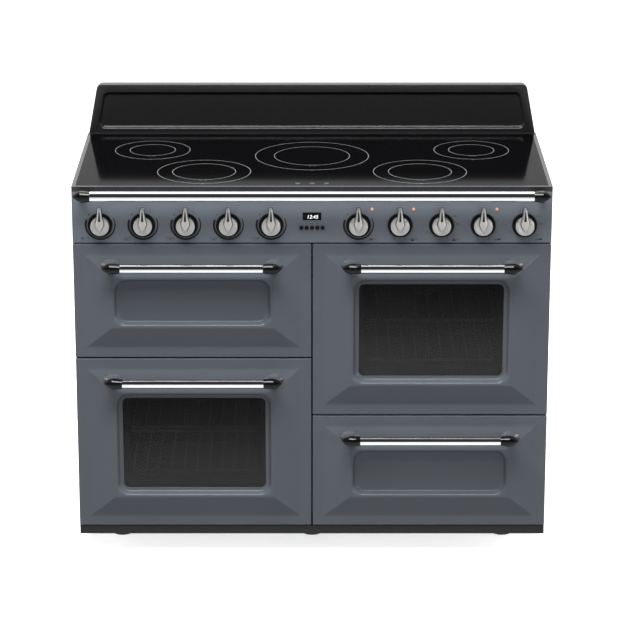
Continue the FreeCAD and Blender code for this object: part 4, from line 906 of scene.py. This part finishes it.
def write(name, words, size, x, z, body, finish, slant=0.0, y=None):
    """A generic number or clock reading as flat raised text on the front."""
    curve = bpy.data.curves.new(name, "FONT")
    curve.body = words
    curve.size = size
    curve.align_x = "CENTER"
    curve.align_y = "CENTER"
    curve.shear = slant
    curve.extrude = print_height() / 2
    curve.materials.append(finish_called(finish))
    item = placed(name, curve, (x, (FRONT_Y if y is None else y) - curve.extrude, z))
    item.rotation_euler = (math.pi / 2, 0, 0)
    bpy.context.view_layer.update()
    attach(item, body)
    return item


class COOKER_OT_fascia_marks(bpy.types.Operator):
    """Prints the scales, dots and small diagrams round the knobs"""
    bl_idname = "cooker.fascia_marks"
    bl_label = "Fascia marks"

    def execute(self, context):
        dress("control_fascia")
        face = frame["nodes"]["control_fascia"].material_slots[0]
        # The fascia gets the lighter copy of the slate enamel: painted light that makes up for the
        # rail's shade.
        face.material = finish_called("fascia_enamel")
        mesh = bmesh.new()
        for node in (*ZONE_KNOBS, "grill_knob"):
            place = on_fascia(middle(node).x, KNOB_Z)
            radius = 35.6 * MM
            band(mesh, radius,
                 lambda share: radius - (4.6 - 2.6 * max(share - 0.5, 0) / 0.5) * MM,
                 *CRESCENT, place, 72)
            for turn, away, size in ((136, 35.5, 1.5), (61, 36.5, 1.1)):
                turn = math.radians(turn)
                dot(mesh, away * math.cos(turn), away * math.sin(turn), size, place, 20)
        for node in (*FUNCTION_KNOBS, *HEAT_KNOBS):
            place = on_fascia(middle(node).x, KNOB_Z)
            for turn in range(-220, 41, 26):
                band(mesh, 32.4 * MM, 30.2 * MM, turn - 0.8, turn + 0.8, place, 3)
        self.diagrams(mesh)
        make_piece("fascia_scales", mesh, "carcass", "fascia_print", sharp=30)
        self.numbers()
        return {"FINISHED"}

    def diagrams(self, mesh):
        """A small plan of the zones by each zone knob and of the ovens by the others."""
        spots = ((-5.4, 1.5), (-2.6, -1.3), (0, 0.4), (2.6, -1.3), (5.4, 1.5))
        for index, node in enumerate(ZONE_KNOBS):
            place = on_fascia(middle(node).x - 36 * MM, 776.5 * MM)
            self.frame(mesh, place, 0, 0, 8.6, 4.3)
            for number, (x, z) in enumerate(spots):
                size, hole = (1.7, 0.05) if number == index else (0.9, 0.5)
                dot(mesh, x, z, size, place, 16, hole)
        marked = {"grill_knob": 0, "left_oven_function_knob": 1, "left_oven_heat_knob": 1,
                  "right_oven_function_knob": 2, "right_oven_heat_knob": 2}
        boxes = ((-4.2, 1.4, 3.6, 1.2), (-4.2, -1.5, 3.6, 1.6), (4.2, 1.0, 3.6, 1.8))
        for node, filled in marked.items():
            place = on_fascia(middle(node).x + 33 * MM, 775 * MM)
            for number, (x, z, wide, tall) in enumerate(boxes):
                self.frame(mesh, place, x, z, wide, tall, number == filled)

    @staticmethod
    def frame(mesh, place, x, z, wide, tall, filled=False):
        """A printed box, filled or as a thin outline."""
        thin = 2 * tall if filled else 0.5
        bars = [(x - wide, x + wide, z + tall - thin, z + tall)]
        if not filled:
            bars += [(x - wide, x + wide, z - tall, z - tall + thin),
                     (x - wide, x - wide + thin, z - tall + thin, z + tall - thin),
                     (x + wide - thin, x + wide, z - tall + thin, z + tall - thin)]
        for x0, x1, z0, z1 in bars:
            slab(mesh, (x0, x1), (z0, z1), place)

    def numbers(self):
        """The dials' numbers: their angles, words, size and distance at the side."""
        rise = 35 * MM
        dials = (
            (HEAT_KNOBS, (208, 262, 316, 4, 36), ("50", "100", "150", "200", "250"), 4.6, 37.5),
            (FUNCTION_KNOBS, (160, 205, 250, 290, 335, 20), "123456", 5, 36.5),
        )
        for nodes, turns, readings, size, reach in dials:
            for node in nodes:
                for turn, words in zip(turns, readings):
                    angle = math.radians(turn)
                    write(node + "_" + words, words, size * MM,
                          middle(node).x + reach * MM * math.cos(angle),
                          KNOB_Z + rise * math.sin(angle), "carcass", "fascia_print")


class COOKER_OT_clock(bpy.types.Operator):
    """Makes the clock's digits and the row of signs over its buttons"""
    bl_idname = "cooker.clock"
    bl_label = "Clock"

    def execute(self, context):
        dress("clock_module", *(f"clock_button_{number}" for number in range(1, 6)))
        window_y = low("clock_module").y
        write("clock_digits", "12:45", 11.8 * MM, 0.8 * MM, 828.8 * MM, "carcass", "digit_light",
              slant=0.18, y=window_y)
        mesh = bmesh.new()
        for number in range(5):
            place = on_fascia((number - 2) * 12.2 * MM, 814.2 * MM)
            if number % 2:
                band(mesh, 1.6 * MM, 1.05 * MM, 30, 330, place, 24)
            else:
                for x, top in ((-1.1, -0.1), (0, 0.8), (1.1, -0.1)):
                    slab(mesh, (x - 0.3, x + 0.3), (-1.6, top), place)
        make_piece("clock_signs", mesh, "carcass", "fascia_print", sharp=30)
        return {"FINISHED"}


class COOKER_OT_hob(bpy.types.Operator):
    """Prints the zone rings and marks on the hob"""
    bl_idname = "cooker.hob"
    bl_label = "Hob"

    # Centre and both diameters of each zone, in millimetres
    zones = ((0, 48, 270, 180), (-382, 105, 180, 110), (382, 105, 180, 110),
             (-251.3, -101.7, 218, 148), (251.3, -101.7, 218, 148))

    def execute(self, context):
        dress("hob_glass", "hob_trim", "radiant_heaters")
        mesh = bmesh.new()
        line = 1.1 * MM

        def on_hob(centre_x, centre_y):
            return lambda x, y, height: (centre_x + x, centre_y + y, HOB_TOP + height)

        for x, y, outer, inner in self.zones:
            place = on_hob(x * MM, y * MM)
            for size in (outer, inner):
                radius = size * MM / 2
                band(mesh, radius, radius - line, 0, 360, place, 128)
            below = -inner / 2 - 5
            for x in (-5, 5):
                slab(mesh, (x - 2.5, x + 2.5), (below - 0.5, below + 0.5), place)
            below = -outer / 2 - 3
            slab(mesh, (-0.5, 0.5), (below - 2.5, below + 2.5), place)
        for x in (-33, 0, 33):
            for y in (-205, -213):
                slab(mesh, (x - 5, x + 5), (y - 0.7, y + 0.7), on_hob(0, 0))
        make_piece("hob_rings", mesh, "carcass", "hob_print", sharp=30)
        return {"FINISHED"}


class COOKER_OT_backsplash(bpy.types.Operator):
    """Makes the black upstand behind the hob with its soft pressing"""
    bl_idname = "cooker.backsplash"
    bl_label = "Backsplash"

    def execute(self, context):
        lowest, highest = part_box("backsplash")
        slant = 25 * MM / (highest.z - lowest.z)

        def ring(side, y, base, top, corner):
            z0, z1 = lowest.z + base, highest.z - top
            x0 = highest.x - slant * (z0 - lowest.z) - side
            x1 = highest.x - slant * (z1 - lowest.z) - side
            stops = [share / 10 for share in range(1, 10)]
            points = outline([(-x0, z0), (x0, z0), (x1, z1), (-x1, z1)],
                             [min(corner, 4 * MM) if base < 10 * MM else corner] * 2
                             + [corner] * 2, [stops] * 4, 8)
            return [(x, y, z) for x, z in points]

        front, back = lowest.y, highest.y
        rim, foot = 20 * MM, 23 * MM
        depth = 6 * MM
        gauge = 1.5 * MM
        run = [
            (gauge, front + depth + gauge, gauge, gauge, 13.5 * MM),
            (gauge, back, gauge, gauge, 13.5 * MM),
            (0, back, 0, 0, 15 * MM),
            (0, front, 0, 0, 15 * MM),
            (rim, front, foot, rim, 14 * MM),
            (rim + 4 * MM, front + depth, foot + 4 * MM, rim + 4 * MM, 12 * MM),
            (rim + 14 * MM, front + depth, foot + 14 * MM, rim + 14 * MM, 8 * MM),
        ]
        reaches = [0.3 * MM, 0.3 * MM, 3 * MM, 2 * MM, 2.2 * MM]
        mesh = bmesh.new()
        add_solid(mesh, [ring(*station) for station in softened(run, reaches)])
        pressing = make_piece("backsplash_pressing", mesh, "carcass", "black_enamel",
                              ["backsplash"], sharp=50)
        pressing.modifiers.new("flat faces", "WEIGHTED_NORMAL").keep_sharp = True
        return {"FINISHED"}


class COOKER_OT_inner_parts(bpy.types.Operator):
    """Gives the frame, cavities, heaters, fans and fittings their finishes"""
    bl_idname = "cooker.inner_parts"
    bl_label = "Frame and inner parts"

    def execute(self, context):
        dress("base_tray", "levelling_feet", "plinth_strip", "side_panels", "rear_cover",
              "terminal_block", "chassis_frame", "rotary_switches", "oven_cavities",
              "grill_cavity", "cavity_insulation", "door_seals", "rack_supports", "oven_racks",
              "heating_elements", "fan_baffles", "fan_motors", "oven_lamps", "hinge_receivers",
              "drawer_runners", "left_oven_fan", "right_oven_fan")
        for name, finish in (("chassis_frame", "frame_enamel"), ("side_panels", "side_enamel")):
            for slot in frame["nodes"][name].material_slots:
                slot.material = finish_called(finish)
        for name in ("side_panels", "plinth_strip", "hob_trim"):
            soft = frame["nodes"][name].modifiers.new("edge", "BEVEL")
            soft.width = 0.6 * MM
            soft.segments = 2
            soft.limit_method = "ANGLE"
        return {"FINISHED"}


def add_lamp(name, place, aim, size, power):
    lamp = bpy.data.lights.new(name, "AREA")
    lamp.shape = "RECTANGLE"
    lamp.size, lamp.size_y = size
    lamp.energy = power
    item = placed(name, lamp, place)
    item.rotation_euler = (Vector(aim) - Vector(place)).to_track_quat("-Z", "Y").to_euler()
    return item


class COOKER_OT_studio(bpy.types.Operator):
    """Sets up the floor, lamps, sky and camera"""
    bl_idname = "cooker.studio"
    bl_label = "Studio"

    def execute(self, context):
        scene = context.scene
        self.floor()
        studio = scene.cooker_studio
        tubes = {"chrome_tube"}
        mirrors = tubes | {"black_enamel", "ceramic_glass", "hob_print", "bracket_black",
                           "hob_trim_metal"}
        tops = mirrors | {"bezel_black"}
        for name, place, size, power, spared in (
            ("key_lamp", (-2.1, -3.8, 0.6), (1.4, 1.2), studio.key_power, tops),
            ("fill_lamp", (2.1, -3.8, 0.6), (1.1, 1.0), studio.fill_power, tops),
            ("front_lamp", (0, -6.0, 2.8), (6.0, 3.4), studio.front_power, tops),
            ("top_lamp", (-0.5, -1.7, 3.9), (3.0, 1.4), studio.top_power, tubes),
            ("left_lamp", (-4.5, -0.3, 1.3), (2.0, 2.0), studio.side_power * 0.8, mirrors),
            ("right_lamp", (4.5, -0.3, 1.3), (2.0, 2.0), studio.side_power * 1.3, mirrors),
        ):
            lamp = add_lamp(name, place, COOKER_CENTRE, size, power)
            lamp.light_linking.receiver_collection = self.group(
                name + "_lights", lambda finishes: not finishes & spared)
        add_lamp("back_lamp", (0, 2.4, 4.0), BACK_CENTRE, (4.4, 1.3), studio.back_power)
        metal = self.group("tubes_and_brackets",
                           lambda finishes: finishes & {"chrome_tube", "bracket_black"})
        for name, place, size, power, wanted in (
            ("tube_lamp", (0, 1.83, 3.99), (7.0, 6.2), studio.tube_power, "chrome_tube"),
            ("low_tube_lamp", (0, -1.5, -1.7), (7.0, 2.5), studio.low_tube_power, "chrome_tube"),
            ("bracket_lamp", (0, 0.4, 4.5), (5.0, 0.15), studio.bracket_power, "bracket_black"),
        ):
            lamp = add_lamp(name, place, TUBES_CENTRE, size, power)
            lamp.light_linking.receiver_collection = self.group(
                name + "_lights", lambda finishes: wanted in finishes)
            lamp.light_linking.blocker_collection = metal
        self.sky(scene, studio.sky)
        camera = bpy.data.cameras.new("camera")
        camera.lens = CAMERA_LENS
        camera.sensor_width = CAMERA_SENSOR
        item = placed("camera", camera, CAMERA_PLACE)
        item.rotation_euler = (math.radians(90 - CAMERA_TILT), 0, 0)
        scene.camera = item
        scene.view_settings.view_transform = "Standard"
        return {"FINISHED"}

    def group(self, name, wanted):
        """A collection of the pieces whose finishes a lamp is wanted on."""
        lit = bpy.data.collections.new(name)
        for item in bpy.context.scene.objects:
            finishes = {slot.material.name.split(".")[0] for slot in item.material_slots}
            if item.type in ("MESH", "FONT") and wanted(finishes):
                lit.objects.link(item)
        return lit

    def floor(self):
        mesh = bmesh.new()
        reach = 14
        stops = [-reach, -reach / 2, -2, 0, 2, reach / 2, reach]
        rows = [[mesh.verts.new((x, y, 0)) for x in stops] for y in stops]
        for row, following in zip(rows, rows[1:]):
            for step in range(len(stops) - 1):
                mesh.faces.new((row[step], row[step + 1], following[step + 1], following[step]))
        data = bpy.data.meshes.new("floor")
        mesh.to_mesh(data)
        mesh.free()
        data.materials.append(self.floor_paint())
        item = placed("floor", data)

    def floor_paint(self):
        """Pale paint that glows white for camera, mirror and transmission rays and keeps the
        shadow. The light that it throws back fades away from the cooker."""
        finish = Finish("floor_paint")
        away = finish.length(finish.place())
        pale = finish.mix(finish.noise(3, 2), (0.82,) * 3, (0.86,) * 3)
        dim = finish.mix(finish.steps(away, 0.9, 2.6), (0.28,) * 3, (0.10,) * 3)
        path = finish.node("ShaderNodeLightPath", output="Is Camera Ray")
        base = finish.mix(path, dim, pale)
        shown = path + path.output("Is Glossy Ray") + path.output("Is Transmission Ray")
        seen = shown * (finish.steps(away, 2.0, 6.0) * 0.4 + 0.6)
        glow = finish.mix(seen, (0, 0, 0), (1, 1, 1))
        return finish.surface(Base_Color=base, Roughness=0.9, Specular_IOR_Level=0.0,
                              Emission_Color=glow, Emission_Strength=1.0)

    def sky(self, scene, strength):
        """Even white light. Mirror rays see white on the backdrop's side and a dark room on
        the camera's, which gives the tubes their dark band."""
        sky = Finish("sky", bpy.data.worlds.new("sky"))
        scene.world = sky.owner
        path = sky.node("ShaderNodeLightPath", output="Is Camera Ray")
        way = sky.node("ShaderNodeTexCoord", output="Generated")
        depth = sky.node("ShaderNodeSeparateXYZ", {}, {"Vector": way}, "Y")
        mirrored = path.output("Is Glossy Ray")
        backdrop = sky.steps(depth, -0.25, 0.05)
        seen = path + path.output("Is Transmission Ray") + mirrored * backdrop
        rest = (1 - seen) * (1 - mirrored) * strength
        light = sky.node("ShaderNodeBackground", {}, {
            "Color": (1, 1, 1, 1), "Strength": seen + mirrored * DARK_ROOM + rest})
        sky.join(light, "ShaderNodeOutputWorld")


class COOKER_PT_panel(bpy.types.Panel):
    """Lists the operators and settings of the range cooker"""
    bl_idname = "COOKER_PT_panel"
    bl_label = "Range cooker"
    bl_space_type = "VIEW_3D"
    bl_region_type = "UI"
    bl_category = "Range cooker"

    def draw(self, context):
        layout = self.layout
        for operator in OPERATORS:
            layout.operator(operator.bl_idname)
        for settings in (getattr(context.scene, name) for name in SETTINGS):
            box = layout.box()
            for name in settings.__annotations__:
                box.prop(settings, name)


OPERATORS = (COOKER_OT_door_skins, COOKER_OT_handles, COOKER_OT_towel_rail, COOKER_OT_knobs,
             COOKER_OT_fascia_marks, COOKER_OT_clock, COOKER_OT_hob, COOKER_OT_backsplash,
             COOKER_OT_inner_parts, COOKER_OT_studio)
SETTINGS = {"cooker_sizes": CookerSizes, "cooker_colours": CookerColours,
            "cooker_studio": CookerStudio}
CLASSES = (*SETTINGS.values(), *OPERATORS, COOKER_PT_panel)


def register():
    for item in CLASSES:
        bpy.utils.register_class(item)
    for name, kind in SETTINGS.items():
        setattr(bpy.types.Scene, name, bpy.props.PointerProperty(type=kind))


def unregister():
    for name in SETTINGS:
        delattr(bpy.types.Scene, name)
    for item in reversed(CLASSES):
        bpy.utils.unregister_class(item)


def main():
    register()
    bpy.ops.cooker.door_skins()
    bpy.ops.cooker.handles()
    bpy.ops.cooker.towel_rail()
    bpy.ops.cooker.knobs()
    bpy.ops.cooker.fascia_marks()
    bpy.ops.cooker.clock()
    bpy.ops.cooker.hob()
    bpy.ops.cooker.backsplash()
    bpy.ops.cooker.inner_parts()
    bpy.ops.cooker.studio()


if __name__ == "__main__":
    main()
